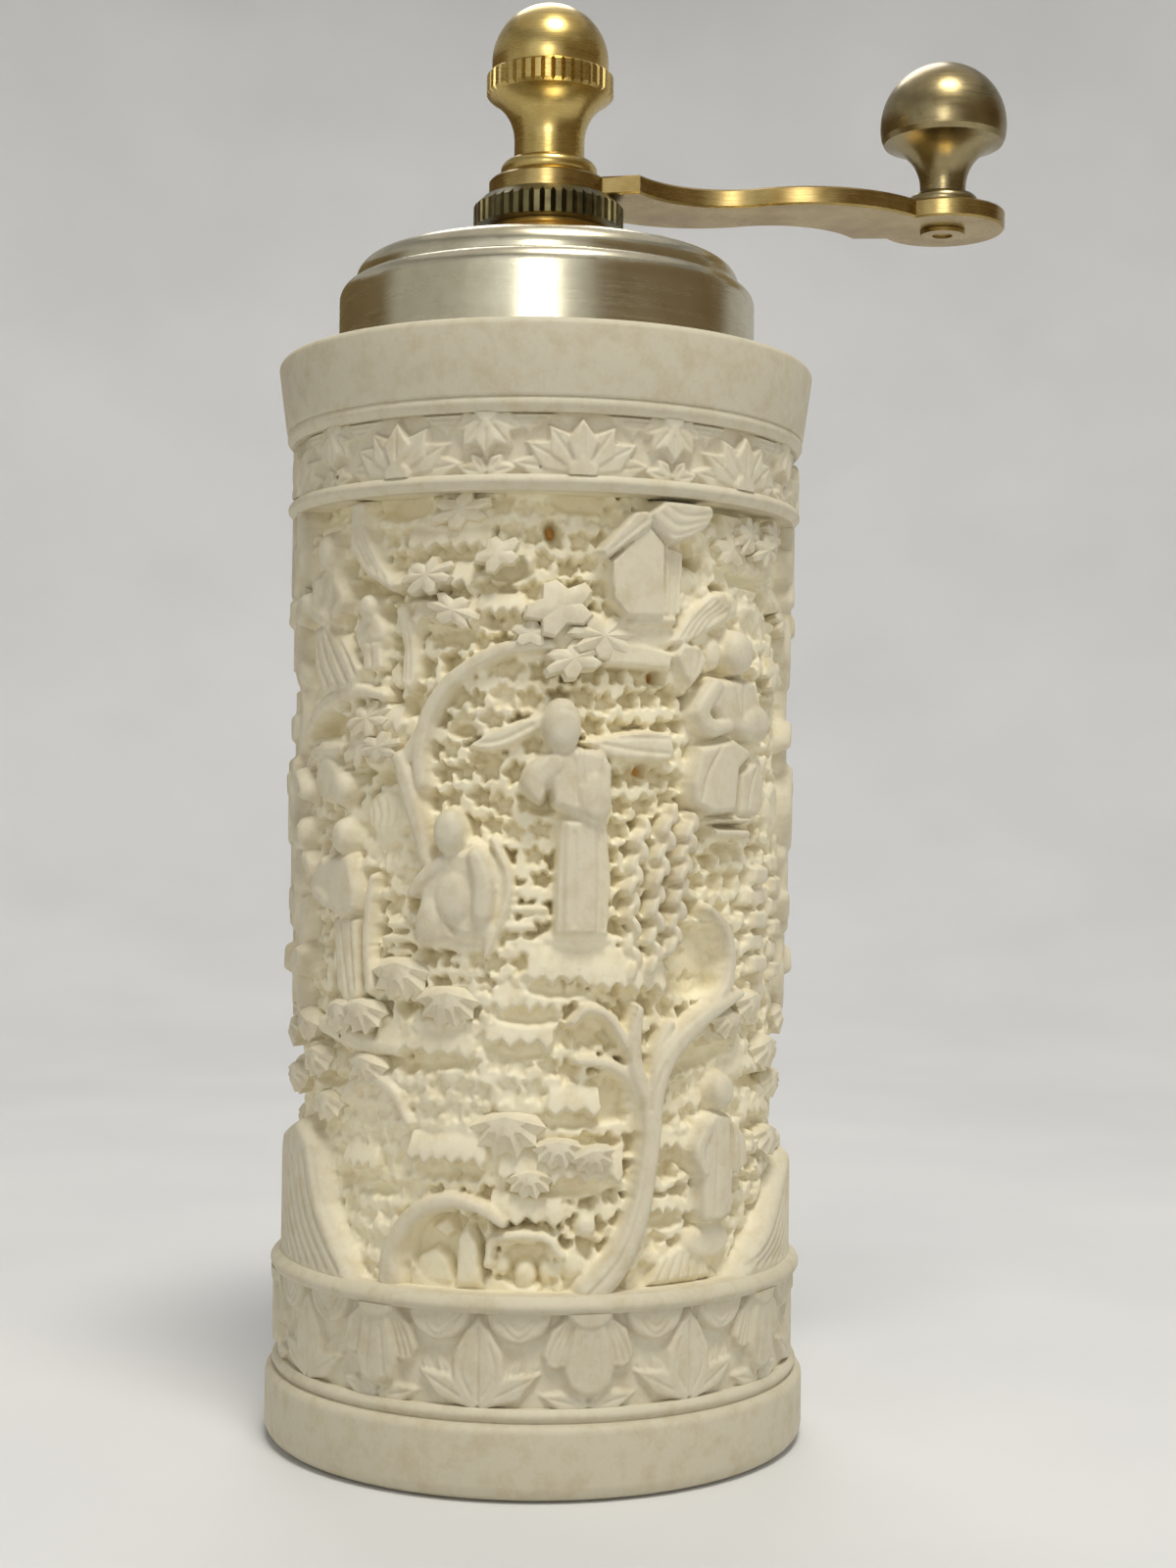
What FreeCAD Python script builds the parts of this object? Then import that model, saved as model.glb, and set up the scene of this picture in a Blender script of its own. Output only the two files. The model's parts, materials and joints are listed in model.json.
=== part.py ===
"""Crank pepper mill: a carved cast-resin body, a plated dome cap and a brass crank that turns a burr mechanism.

Millimetres, +Z up. The origin is the centre of the base's flat foot, and the crank points along +X.
"""
import FreeCAD
import Part

import math
import os

import Sketcher

SHEET = "Dims"

# Driving dimensions: alias, millimetres (or a count), what it is
DRIVING = [
    ("body_height", 99.6, "foot to the collar's top edge"),
    ("base_radius", 25.2, "plain base band"),
    ("base_band_height", 6.8, "plain base band"),
    ("base_edge_radius", 1.5, "rounding under the base band"),
    ("lower_band_radius", 24.6, "lower petal band"),
    ("lower_ground_radius", 23.2, "ground behind the lower petals"),
    ("lotus_count", 8, "hanging lotus flowers in the lower band"),
    ("lower_band_height", 8.9, "lower petal band"),
    ("lower_bead_height", 1.4, "rim above the lower petal band"),
    ("carved_radius", 23.6, "carved figures and pavilion"),
    ("tree_radius", 23.0, "carved trees, leaves and rocks"),
    ("ground_radius", 21.5, "ground behind the carved scene"),
    ("scene_turn", -11.5, "degrees from -Y to the middle of the scene's front"),
    ("high_back_turn", 200.0, "degrees from the upper part of the scene to its copy on the back"),
    ("middle_back_turn", 172.0, "degrees from the middle part to its copy on the back"),
    ("low_back_turn", 190.0, "degrees from the lower part to its copy on the back"),
    ("upper_bead_height", 1.3, "each rim beside the upper petal band"),
    ("bead_rise", 0.45, "how far a rim stands proud of its band"),
    ("upper_band_radius", 23.9, "upper petal band"),
    ("upper_band_height", 5.3, "upper petal band"),
    ("upper_ground_radius", 22.8, "ground behind the upper petals"),
    ("blossom_count", 9, "blossoms in the upper band"),
    ("collar_height", 6.6, "plain collar"),
    ("collar_bottom_radius", 24.4, "plain collar, lower end"),
    ("collar_top_radius", 25.2, "plain collar, upper end"),
    ("collar_edge_radius", 0.7, "rounding of the collar's top edge"),
    ("liner_inner_radius", 16.8, "hopper"),
    ("liner_wall", 0.6, "liner tube"),
    ("liner_gap", 0.05, "glue line between liner and body"),
    ("funnel_bottom", 20.5, "height of the funnel's lower end"),
    ("funnel_top", 26.0, "height of the funnel's upper end and of the liner's foot"),
    ("throat_radius", 13.4, "throat above the burr"),
    ("foot_recess_radius", 21.0, "recess inside the foot"),
    ("plate_thickness", 1.2, "retaining plate"),
    ("plate_depth", 3.6, "height of the seat that the plate is screwed to"),
    ("plate_inner_radius", 12.7, "outlet in the retaining plate"),
    ("burr_radius", 15.0, "outside of the fixed burr"),
    ("burr_height", 13.8, "fixed burr"),
    ("burr_mouth_radius", 14.2, "fixed burr, top of its funnel"),
    ("burr_waist_radius", 10.2, "fixed burr, narrowest"),
    ("burr_waist_height", 8.4, "fixed burr, narrowest point above its foot"),
    ("burr_foot_radius", 12.0, "fixed burr, outlet"),
    ("burr_tooth_depth", 0.8, "tooth grooves of both burrs"),
    ("burr_tooth_count", 24, "grooves in the fixed burr"),
    ("rotor_tooth_count", 18, "grooves in the turning burr"),
    ("rotor_bottom_radius", 11.3, "turning burr, outlet"),
    ("rotor_top_radius", 6.2, "turning burr, top"),
    ("rotor_lift", 1.0, "turning burr's foot above the fixed burr's foot"),
    ("rotor_height", 6.9, "turning burr"),
    ("rotor_twist", 20.0, "degrees that a rotor groove turns on its way up"),
    ("rotor_washer_radius", 4.6, "washer under the turning burr"),
    ("rotor_washer_thickness", 0.6, "washer under the turning burr"),
    ("rotor_nut_flats", 7.0, "lock nut across flats"),
    ("rotor_nut_height", 2.2, "lock nut"),
    ("tail_radius", 2.0, "threaded lower end of the spindle"),
    ("tail_stub", 0.2, "spindle end showing below the lock nut"),
    ("spindle_radius", 3.0, "spindle"),
    ("spindle_flats", 4.8, "across the two flats of the spindle's ends"),
    ("spindle_reach", 26.8, "spindle's top above the body's top"),
    ("crank_thread_radius", 2.4, "threaded upper end of the spindle"),
    ("crank_thread_recess", 0.8, "start of that thread below the arm's top"),
    ("bridge_thickness", 1.6, "spindle bridge"),
    ("bridge_rim_width", 1.6, "spindle bridge"),
    ("bridge_arm_width", 3.6, "spindle bridge"),
    ("bridge_arm_count", 3, "spindle bridge"),
    ("bridge_hub_radius", 6.0, "spindle bridge"),
    ("bridge_bush_wall", 0.95, "bush in the bridge"),
    ("bridge_bush_flange", 0.6, "thickness of the bush's flange"),
    ("bridge_bush_flange_radius", 5.4, "flange that the spring pushes on"),
    ("spring_wire", 0.7, "wire diameter"),
    ("spring_radius", 4.4, "to the middle of the wire"),
    ("spring_turns", 3.0, "turns"),
    ("cup_thickness", 0.8, "spring cup"),
    ("cup_rim_height", 0.6, "spring cup"),
    ("cup_radius", 5.7, "spring cup"),
    ("screw_circle_radius", 18.0, "screws of the retaining plate"),
    ("screw_count", 3, "screws of the retaining plate"),
    ("screw_radius", 1.1, "screw shank"),
    ("screw_head_radius", 2.1, "countersunk head"),
    ("screw_length", 8.5, "screw, head included"),
    ("screw_tip_room", 1.0, "hole past the screw's tip"),
    ("screw_slot_width", 0.6, "driver slot"),
    ("screw_slot_depth", 0.5, "driver slot"),
    ("cap_radius", 19.7, "dome cap"),
    ("cap_wall", 0.8, "sheet thickness"),
    ("cap_gap", 0.3, "between the cap's skirt and the body's mouth"),
    ("cap_seat_depth", 5.4, "seat of the skirt below the collar's top"),
    ("cap_wall_height", 6.2, "straight wall above the collar's top"),
    ("cap_shoulder_radius", 1.5, "rounded shoulder"),
    ("cap_step_height", 0.45, "small step between shoulder and dome"),
    ("cap_rim_round", 1.9, "round edge of the dome"),
    ("cap_rise", 1.5, "crown of the dome above its round edge"),
    ("cap_land_radius", 7.0, "flat land round the spindle"),
    ("bush_shank_radius", 4.1, "cap bush through the sheet"),
    ("bush_collar_radius", 4.8, "cap bush above the sheet"),
    ("bush_collar_height", 1.85, "cap bush above the sheet"),
    ("bush_nut_flats", 10.0, "nut under the cap, across flats"),
    ("bush_nut_height", 2.4, "nut under the cap"),
    ("thrust_washer_radius", 5.6, "washer under the adjusting nut"),
    ("thrust_washer_thickness", 0.35, "washer under the adjusting nut"),
    ("nut_radius", 7.15, "adjusting nut"),
    ("nut_height", 2.75, "adjusting nut"),
    ("nut_chamfer", 0.8, "adjusting nut's upper edge"),
    ("nut_tooth_count", 44, "coin-edge grooves"),
    ("nut_groove_depth", 0.42, "coin-edge grooves"),
    ("nut_groove_width", 0.5, "coin-edge grooves"),
    ("arm_length", 40.0, "spindle axis to knob axis"),
    ("arm_thickness", 1.8, "crank arm"),
    ("arm_hub_radius", 5.7, "crank arm's round end on the spindle"),
    ("arm_end_radius", 6.1, "crank arm's round end under the knob"),
    ("arm_notch_reach", 4.4, "notch beside each round end"),
    ("arm_point_reach", 7.7, "point beside each notch"),
    ("arm_point_half", 5.2, "half width at that point"),
    ("arm_mid_half", 4.0, "half width in the middle"),
    ("arm_hollow", 2.3, "depth of the hollow side of each bend"),
    ("arm_swell", 2.3, "height of the full side of each bend"),
    ("arm_edge", 0.2, "eased edges"),
    ("finial_foot_radius", 4.6, "bead at the finial's foot"),
    ("finial_foot_height", 1.9, "bead at the finial's foot"),
    ("finial_foot_bulge", 0.8, "bead at the finial's foot"),
    ("finial_neck_radius", 3.35, "finial's neck"),
    ("finial_neck_height", 2.0, "straight part of the neck"),
    ("finial_flare_height", 4.1, "trumpet under the knurled ring"),
    ("finial_ring_radius", 6.05, "knurled ring"),
    ("finial_ring_height", 2.3, "knurled ring"),
    ("finial_ring_ease", 0.3, "eased edges of the knurled ring"),
    ("finial_dome_radius", 5.45, "foot of the dome"),
    ("finial_dome_height", 6.7, "dome"),
    ("finial_bore_depth", 9.6, "blind threaded hole"),
    ("finial_tooth_count", 40, "grooves of the knurled ring"),
    ("finial_groove_depth", 0.34, "grooves of the knurled ring"),
    ("finial_groove_width", 0.42, "grooves of the knurled ring"),
    ("knob_foot_radius", 3.5, "bead at the knob's foot"),
    ("knob_foot_height", 1.7, "bead at the knob's foot"),
    ("knob_foot_bulge", 0.7, "bead at the knob's foot"),
    ("knob_neck_radius", 2.25, "knob's neck"),
    ("knob_neck_height", 0.7, "straight part of the neck"),
    ("knob_flare_height", 4.4, "trumpet under the knob's head"),
    ("knob_head_radius", 6.1, "rim of the head"),
    ("knob_rim_height", 0.5, "rim of the head"),
    ("knob_rim_overhang", 0.25, "rim beyond the trumpet"),
    ("knob_dome_height", 7.5, "head above its rim"),
    ("rivet_radius", 1.5, "rivet that the knob turns with"),
    ("rivet_reach", 7.0, "rivet inside the knob"),
    ("rivet_head_radius", 2.2, "peened end under the arm"),
    ("rivet_head_height", 0.4, "peened end under the arm"),
    ("rivet_dimple_radius", 1.0, "hollow in the peened end"),
    ("rivet_dimple_depth", 0.2, "hollow in the peened end"),
    ("running_gap", 0.05, "all round a piece that turns in another"),
    ("face_gap", 0.05, "between flat faces that turn on each other"),
    ("fixed_gap", 0.02, "all round a piece that is pressed or glued in another"),
]


class Size:
    """A size that knows both its value and the spreadsheet expression that it comes from."""

    def __init__(self, text, value):
        self.text = text
        self.value = value

    @staticmethod
    def of(thing):
        return thing if isinstance(thing, Size) else Size(repr(float(thing)), float(thing))

    def combined(self, sign, other, value):
        return Size(f"({self.text} {sign} {other.text})", value)

    def __add__(self, other):
        other = Size.of(other)
        return self.combined("+", other, self.value + other.value)

    def __sub__(self, other):
        other = Size.of(other)
        return self.combined("-", other, self.value - other.value)

    def __mul__(self, other):
        other = Size.of(other)
        return self.combined("*", other, self.value * other.value)

    def __truediv__(self, other):
        other = Size.of(other)
        return self.combined("/", other, self.value / other.value)

    def __radd__(self, other):
        return Size.of(other) + self

    def __rsub__(self, other):
        return Size.of(other) - self

    def __rmul__(self, other):
        return Size.of(other) * self

    def __neg__(self):
        return Size(f"(0 - {self.text})", -self.value)


ZERO = Size("0", 0.0)


def root(size):
    return Size(f"sqrt({size.text})", math.sqrt(size.value))


def leg(hypotenuse, other):
    """The other short side of a right-angled triangle."""
    return root(hypotenuse * hypotenuse - other * other)


def arc_radius(half_chord, height):
    """Radius of the arc that rises by height over a chord."""
    return (half_chord * half_chord + height * height) / (2.0 * height)


class Round:
    """Between two points of an outline: an arc whose centre lies on the left of the way."""

    side = 1

    def __init__(self, radius):
        self.radius = Size.of(radius)


class Hollow(Round):
    """Between two points of an outline: an arc whose centre lies on the right of the way."""

    side = -1


doc = FreeCAD.newDocument("pepper_mill")
sheet = doc.addObject("Spreadsheet::Sheet", SHEET)
for row, (alias, number, note) in enumerate(DRIVING, start=1):
    sheet.set(f"A{row}", note)
    sheet.set(f"B{row}", str(number))
    sheet.setAlias(f"B{row}", alias)
doc.recompute()


class Cells:
    """Driving dimensions by name."""

    def __getattr__(self, alias):
        return Size(f"{SHEET}.{alias}", float(sheet.get(alias)))


dim = Cells()


def vector(point):
    return FreeCAD.Vector(point[0].value, point[1].value, 0)


def arc_between(start, end, bow):
    """The arc from start to end, and which of its two ends is the start."""
    chord = end - start
    across = FreeCAD.Vector(-chord.y, chord.x, 0).normalize() * bow.side
    reach = math.sqrt(max(bow.radius.value ** 2 - (chord.Length / 2) ** 2, 0.0))
    centre = (start + end) * 0.5 + across * reach
    first, last = (start, end) if bow.side > 0 else (end, start)
    angles = [math.atan2(p.y - centre.y, p.x - centre.x) for p in (first, last)]
    circle = Part.Circle(centre, FreeCAD.Vector(0, 0, 1), bow.radius.value)
    return Part.ArcOfCircle(circle, angles[0], angles[1] if angles[1] > angles[0] else angles[1] + 2 * math.pi)


def plane_of(body, role):
    return next(f for f in body.Origin.OriginFeatures if f.Role == role)


def new_sketch(body, name, role, height=None):
    """An empty sketch on one of the body's own planes, raised by height."""
    sketch = body.newObject("Sketcher::SketchObject", name)
    sketch.AttachmentSupport = [(plane_of(body, role), "")]
    sketch.MapMode = "FlatFace"
    if height is not None:
        sketch.setExpression("AttachmentOffset.Base.z", height.text)
        doc.recompute()
    return sketch


def bind(sketch, constraint, size):
    """Adds a constraint and ties its value to the sheet."""
    index = sketch.addConstraint(constraint)
    if SHEET in size.text:
        sketch.setExpression(f"Constraints[{index}]", size.text)


def add_loop(sketch, outline):
    """A closed outline of points, with a Round or Hollow between two points that an arc joins."""
    points = [item for item in outline if not isinstance(item, Round)]
    points = [(Size.of(x), Size.of(y)) for x, y in points]
    bows = {}
    for item in outline:
        if isinstance(item, Round):
            bows[passed - 1] = item
        else:
            passed = 1 if item is outline[0] else passed + 1
    count = len(points)
    first = sketch.GeometryCount
    for i in range(count):
        start, end = vector(points[i]), vector(points[(i + 1) % count])
        edge = arc_between(start, end, bows[i]) if i in bows else Part.LineSegment(start, end)
        sketch.addGeometry(edge, False)

    def ends(i):
        return (2, 1) if i in bows and bows[i].side < 0 else (1, 2)

    for i in range(count):
        after = (i + 1) % count
        sketch.addConstraint(
            Sketcher.Constraint("Coincident", first + i, ends(i)[1], first + after, ends(after)[0]))
    for i, (x, y) in enumerate(points):
        at = (first + i, ends(i)[0])
        bind(sketch, Sketcher.Constraint("DistanceX", -1, 1, *at, x.value), x)
        bind(sketch, Sketcher.Constraint("DistanceY", -1, 1, *at, y.value), y)
        if i in bows:
            radius = bows[i].radius
            bind(sketch, Sketcher.Constraint("Radius", first + i, radius.value), radius)


def add_circle(sketch, radius, x=ZERO, y=ZERO):
    x, y = Size.of(x), Size.of(y)
    index = sketch.addGeometry(
        Part.Circle(vector((x, y)), FreeCAD.Vector(0, 0, 1), radius.value), False)
    bind(sketch, Sketcher.Constraint("Radius", index, radius.value), radius)
    bind(sketch, Sketcher.Constraint("DistanceX", -1, 1, index, 3, x.value), x)
    bind(sketch, Sketcher.Constraint("DistanceY", -1, 1, index, 3, y.value), y)


def new_body(label):
    body = doc.addObject("PartDesign::Body", label)
    body.Label = label
    return body


def turn(body, outline):
    """Revolves an outline of (radius, height) points about the Z axis."""
    sketch = new_sketch(body, body.Name + "_outline", "XZ_Plane")
    add_loop(sketch, outline)
    turned = body.newObject("PartDesign::Revolution", body.Name + "_turned")
    turned.Profile = sketch
    turned.ReferenceAxis = (sketch, ["V_Axis"])
    turned.Angle = 360
    doc.recompute()
    return turned


def turned_piece(label, outline):
    body = new_body(label)
    turn(body, outline)
    return body


def ring(label, inner, outer, low, high):
    """A plain ring between two heights."""
    return turned_piece(label, [(inner, low), (outer, low), (outer, high), (inner, high)])


def pad(body, sketch, length):
    feature = body.newObject("PartDesign::Pad", sketch.Name + "_pad")
    feature.Profile = sketch
    feature.setExpression("Length", length.text)
    doc.recompute()
    return feature


def pocket(body, sketch, depth, upwards=False):
    """Cuts from the sketch's plane down by depth, or up, and checks that it took something away."""
    before = body.Shape.Volume
    feature = body.newObject("PartDesign::Pocket", sketch.Name + "_pocket")
    feature.Profile = sketch
    feature.Reversed = upwards
    feature.setExpression("Length", depth.text)
    doc.recompute()
    if not feature.Shape.Volume < before:
        raise RuntimeError(f"{feature.Name} cuts nothing")
    return feature


def repeat(body, features, count, angle=360.0):
    """Copies features round the Z axis: count of them on a full turn, or from the first to the last at an angle."""
    pattern = body.newObject("PartDesign::PolarPattern", features[0].Name + "_ring")
    pattern.Originals = features
    pattern.Axis = (plane_of(body, "Z_Axis"), [""])
    pattern.setExpression("Angle", Size.of(angle).text)
    pattern.setExpression("Occurrences", Size.of(count).text)
    body.Tip = pattern
    doc.recompute()
    return pattern


def knurl(body, radius, depth, width, count, low, high):
    """V grooves along a round edge."""
    sketch = new_sketch(body, body.Name + "_groove", "XY_Plane", high)
    mouth = radius + depth
    add_loop(sketch, [(radius - depth, ZERO), (mouth, -width), (mouth, width)])
    repeat(body, [pocket(body, sketch, high - low)], count)


def double_d(sketch, radius, flats, x=ZERO):
    """A round hole with two flats, which face along Y."""
    half = flats / 2.0
    side = leg(radius, half)
    add_loop(sketch, [
        (x + side, -half), Round(radius), (x + side, half),
        (x - side, half), Round(radius), (x - side, -half)])


def hexagon(flats):
    """Corners of a hexagon, as an outline."""
    corner = flats / math.sqrt(3.0)
    half = flats / 2.0
    return [
        (corner, ZERO), (corner / 2.0, half), (-corner / 2.0, half),
        (-corner, ZERO), (-corner / 2.0, -half), (corner / 2.0, -half)]


def hex_nut(label, flats, bore, low, height):
    body = new_body(label)
    sketch = new_sketch(body, label + "_outline", "XY_Plane", low)
    add_loop(sketch, hexagon(flats))
    add_circle(sketch, bore)
    pad(body, sketch, height)
    return body


# Heights that several pieces share
base_top = dim.base_band_height
lower_band_top = base_top + dim.lower_band_height
scene_bottom = lower_band_top + dim.lower_bead_height
collar_bottom = dim.body_height - dim.collar_height
upper_band_top = collar_bottom - dim.upper_bead_height
upper_band_bottom = upper_band_top - dim.upper_band_height
scene_top = upper_band_bottom - dim.upper_bead_height
cap_seat = dim.body_height - dim.cap_seat_depth
bridge_bottom = dim.plate_depth + dim.burr_height
bridge_top = bridge_bottom + dim.bridge_thickness
cap_shoulder = dim.body_height + dim.cap_wall_height
cap_step = cap_shoulder + dim.cap_shoulder_radius
cap_rim_low = cap_step + dim.cap_step_height
cap_rim_high = cap_rim_low + dim.cap_rim_round
cap_top = cap_rim_high + dim.cap_rise
washer_bottom = cap_top + dim.bush_collar_height
nut_bottom = washer_bottom + dim.thrust_washer_thickness + dim.face_gap
nut_top = nut_bottom + dim.nut_height
arm_bottom = nut_top + dim.face_gap
arm_top = arm_bottom + dim.arm_thickness
spindle_top = dim.body_height + dim.spindle_reach
rotor_bottom = dim.plate_depth + dim.rotor_lift
rotor_top = rotor_bottom + dim.rotor_height
rotor_nut_top = rotor_bottom - dim.rotor_washer_thickness
cup_bottom = rotor_top + dim.face_gap
spring_bottom = cup_bottom + dim.cup_thickness
spring_top = bridge_bottom - dim.bridge_bush_flange
screw_head_height = dim.screw_head_radius - dim.screw_radius

# Radii that several pieces share
body_bore = dim.liner_inner_radius + dim.liner_wall + dim.liner_gap
mouth_radius = dim.cap_radius + dim.cap_gap
burr_bore = dim.burr_radius + dim.fixed_gap
spindle_bore = dim.spindle_radius + dim.running_gap
thread_bore = dim.crank_thread_radius + dim.running_gap


def bead(radius, low, high):
    """A half-round rim that stands proud of radius between two heights."""
    half = (high - low) / 2.0
    return [(radius, low), Round(arc_radius(half, dim.bead_rise)), (radius, high)]


# The carving is drawn flat, in millimetres at this size, and fitted to the wall: (along, up) is the distance
# round the wall from the middle of the scene's front, to the right, and the height above the foot
DRAWN_RADIUS = 23.6
DRAWN_LOW, DRAWN_HIGH = 17.1, 85.1
LOTUS_LOW, LOTUS_HIGH = 7.7, 15.7
BLOSSOM_LOW, BLOSSOM_HIGH = 86.4, 91.7

# Lower band: a lotus flower that hangs from its rim, and an upright leaf half a step further on
LOTUS_MIDDLE = 4.8
LOTUS = [(0.0, 8.5), (1.9, 9.3), (2.4, 11.0), (4.2, 11.2), (3.2, 15.9), (-3.2, 15.9), (-4.2, 11.2), (-2.4, 11.0), (-1.9, 9.3)]
LOTUS_LEAF = [(-1.8, 7.4), (1.8, 7.4), (2.6, 11.0), (0.0, 15.6), (-2.6, 11.0)]

# Upper band: an open blossom, and a bud half a step further on
BLOSSOM_MIDDLE = 3.2
BLOSSOM = [(-1.6, 86.2), (1.6, 86.2), (3.8, 88.6), (3.0, 90.7), (0.0, 91.6), (-3.0, 90.7), (-3.8, 88.6)]
BUD = [(0.0, 86.8), (2.6, 89.6), (1.2, 92.0), (-1.2, 92.0), (-2.6, 89.6)]


def limb(*points):
    """Outline of a limb along points of (along, up, half width)."""
    sides = ([], [])
    for k, (x, y, half) in enumerate(points):
        before, after = points[max(k - 1, 0)], points[min(k + 1, len(points) - 1)]
        run = math.hypot(after[0] - before[0], after[1] - before[1])
        across = (-(after[1] - before[1]) / run * half, (after[0] - before[0]) / run * half)
        sides[0].append((x - across[0], y - across[1]))
        sides[1].append((x + across[0], y + across[1]))
    return sides[0] + sides[1][::-1]


def moved(outline, along, up, size, side=1):
    """An outline of size 1 at a place on the wall, mirrored where side is -1."""
    return [(along + side * x * size, up + y * size) for x, y in outline]


# Figures one unit tall: the robe's outline, then the head's middle and radius
STANDING = ([(-0.12, 0.0), (0.14, 0.0), (0.155, 0.25), (0.145, 0.73), (0.09, 0.78), (-0.12, 0.78), (-0.27, 0.69),
             (-0.19, 0.58), (-0.115, 0.5)], (-0.09, 0.895), 0.088)
SEATED = ([(-0.33, 0.0), (0.25, 0.0), (0.4, 0.36), (0.27, 0.68), (-0.2, 0.66), (-0.38, 0.42)], (-0.06, 0.84), 0.145)


def figure(kind, along, up, size, side=1):
    robe, head, radius = kind
    return moved(robe, along, up, size, side), [(*moved([head], along, up, size, side)[0], radius * size)]


# Upper part of the scene: trees and leaves, then figures and the pavilion
HIGH_TREES = [
    limb((-11.2, 60.3, 0.8), (-11.4, 63.0, 0.85), (-10.5, 66.2, 0.85), (-8.5, 68.8, 0.8), (-5.5, 70.8, 0.75), (0.8, 72.0, 0.5)),
    limb((-13.5, 62.3, 0.8), (-12.4, 59.5, 1.05), (-10.5, 53.6, 0.6)),
    limb((-30.5, 63.8, 0.8), (-27.0, 66.2, 0.85), (-23.0, 67.7, 0.85), (-17.0, 68.0, 0.5)),
    [(-20.1, 85.4), (-18.1, 85.4), (-17.6, 82.6), (-13.3, 77.3), (-14.6, 76.6), (-20.1, 80.4)],
    [(11.6, 72.5), (13.4, 72.2), (18.8, 74.6), (19.7, 76.6), (18.4, 77.7), (14.0, 75.6)],
    [(-7.2, 63.3), (-2.6, 63.3), (0.3, 66.3), (-2.2, 65.7)],
    [(3.2, 63.9), (6.4, 62.3), (12.2, 62.1), (12.4, 64.9), (6.0, 64.5)],
    [(-12.6, 74.0), (-9.4, 75.6), (-6.4, 73.2), (-6.0, 76.8), (-2.4, 79.4), (-4.6, 80.6), (-4.8, 84.2), (-8.2, 84.9),
     (-10.8, 84.2), (-11.0, 81.6), (-13.2, 78.4), (-11.2, 77.2)],
    [(-1.9, 75.2), (1.8, 73.0), (0.4, 70.2), (4.8, 68.6), (5.4, 70.2), (12.3, 70.2), (12.5, 71.9), (9.4, 73.6), (5.4, 75.4),
     (2.0, 76.9)],
    [(-20.8, 64.2), (-18.6, 61.2), (-15.4, 60.0), (-13.4, 63.2), (-12.0, 66.6), (-15.4, 68.0), (-19.2, 67.0)],
    [(19.2, 80.2), (22.8, 78.0), (26.6, 80.2), (28.4, 83.6), (24.2, 84.2), (20.4, 84.4)],
]
HIGH_FIGURES = [
    ([(4.6, 80.1), (5.7, 79.4), (6.0, 76.0), (7.3, 74.5), (13.1, 74.8), (13.3, 81.3), (15.2, 82.4), (16.2, 83.8), (15.7, 84.8),
      (10.6, 84.8), (8.0, 83.8)], []),
    ([(14.0, 60.6), (15.2, 66.4), (17.2, 69.6), (22.6, 69.8), (25.9, 66.0), (22.8, 63.5), (25.2, 61.0), (24.2, 56.0),
      (17.0, 56.0)], [(20.2, 72.1, 2.0)]),
    ([(-26.6, 74.4), (-25.8, 78.8), (-21.4, 78.8), (-20.4, 73.4), (-18.0, 70.2), (-19.2, 68.4), (-24.6, 68.1)],
     [(-23.4, 80.9, 1.6)]),
    ([(-18.4, 70.0), (-19.6, 72.6), (-18.6, 74.2), (-16.2, 74.2), (-15.2, 72.6), (-15.5, 70.0)], [(-17.4, 75.6, 1.15)]),
]

# Middle of the scene
MIDDLE_TREES = [
    limb((16.0, 56.6, 1.4), (13.8, 52.4, 1.5), (11.6, 47.2, 1.4), (10.0, 43.2, 1.0)),
    [(23.6, 43.4), (27.0, 43.4), (27.0, 53.4), (23.6, 53.4)],
    [(28.8, 42.6), (32.4, 42.6), (32.4, 54.4), (28.8, 54.4)],
]
MIDDLE_FIGURES = [
    figure(STANDING, 3.55, 47.2, 19.8),
    figure(SEATED, -7.5, 46.0, 12.0),
    ([(-24.4, 51.6), (-23.2, 53.4), (-19.0, 53.6), (-17.9, 48.6), (-17.8, 41.4), (-19.4, 39.8), (-21.8, 42.0), (-22.4, 48.5)],
     [(-20.3, 55.6, 1.55)]),
    ([(-26.4, 59.6), (-29.5, 63.0), (-20.8, 62.8), (-22.3, 58.4), (-24.8, 58.2)], [(-20.3, 59.8, 1.5)]),
    figure(STANDING, -28.8, 43.4, 13.5, -1),
]

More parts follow.
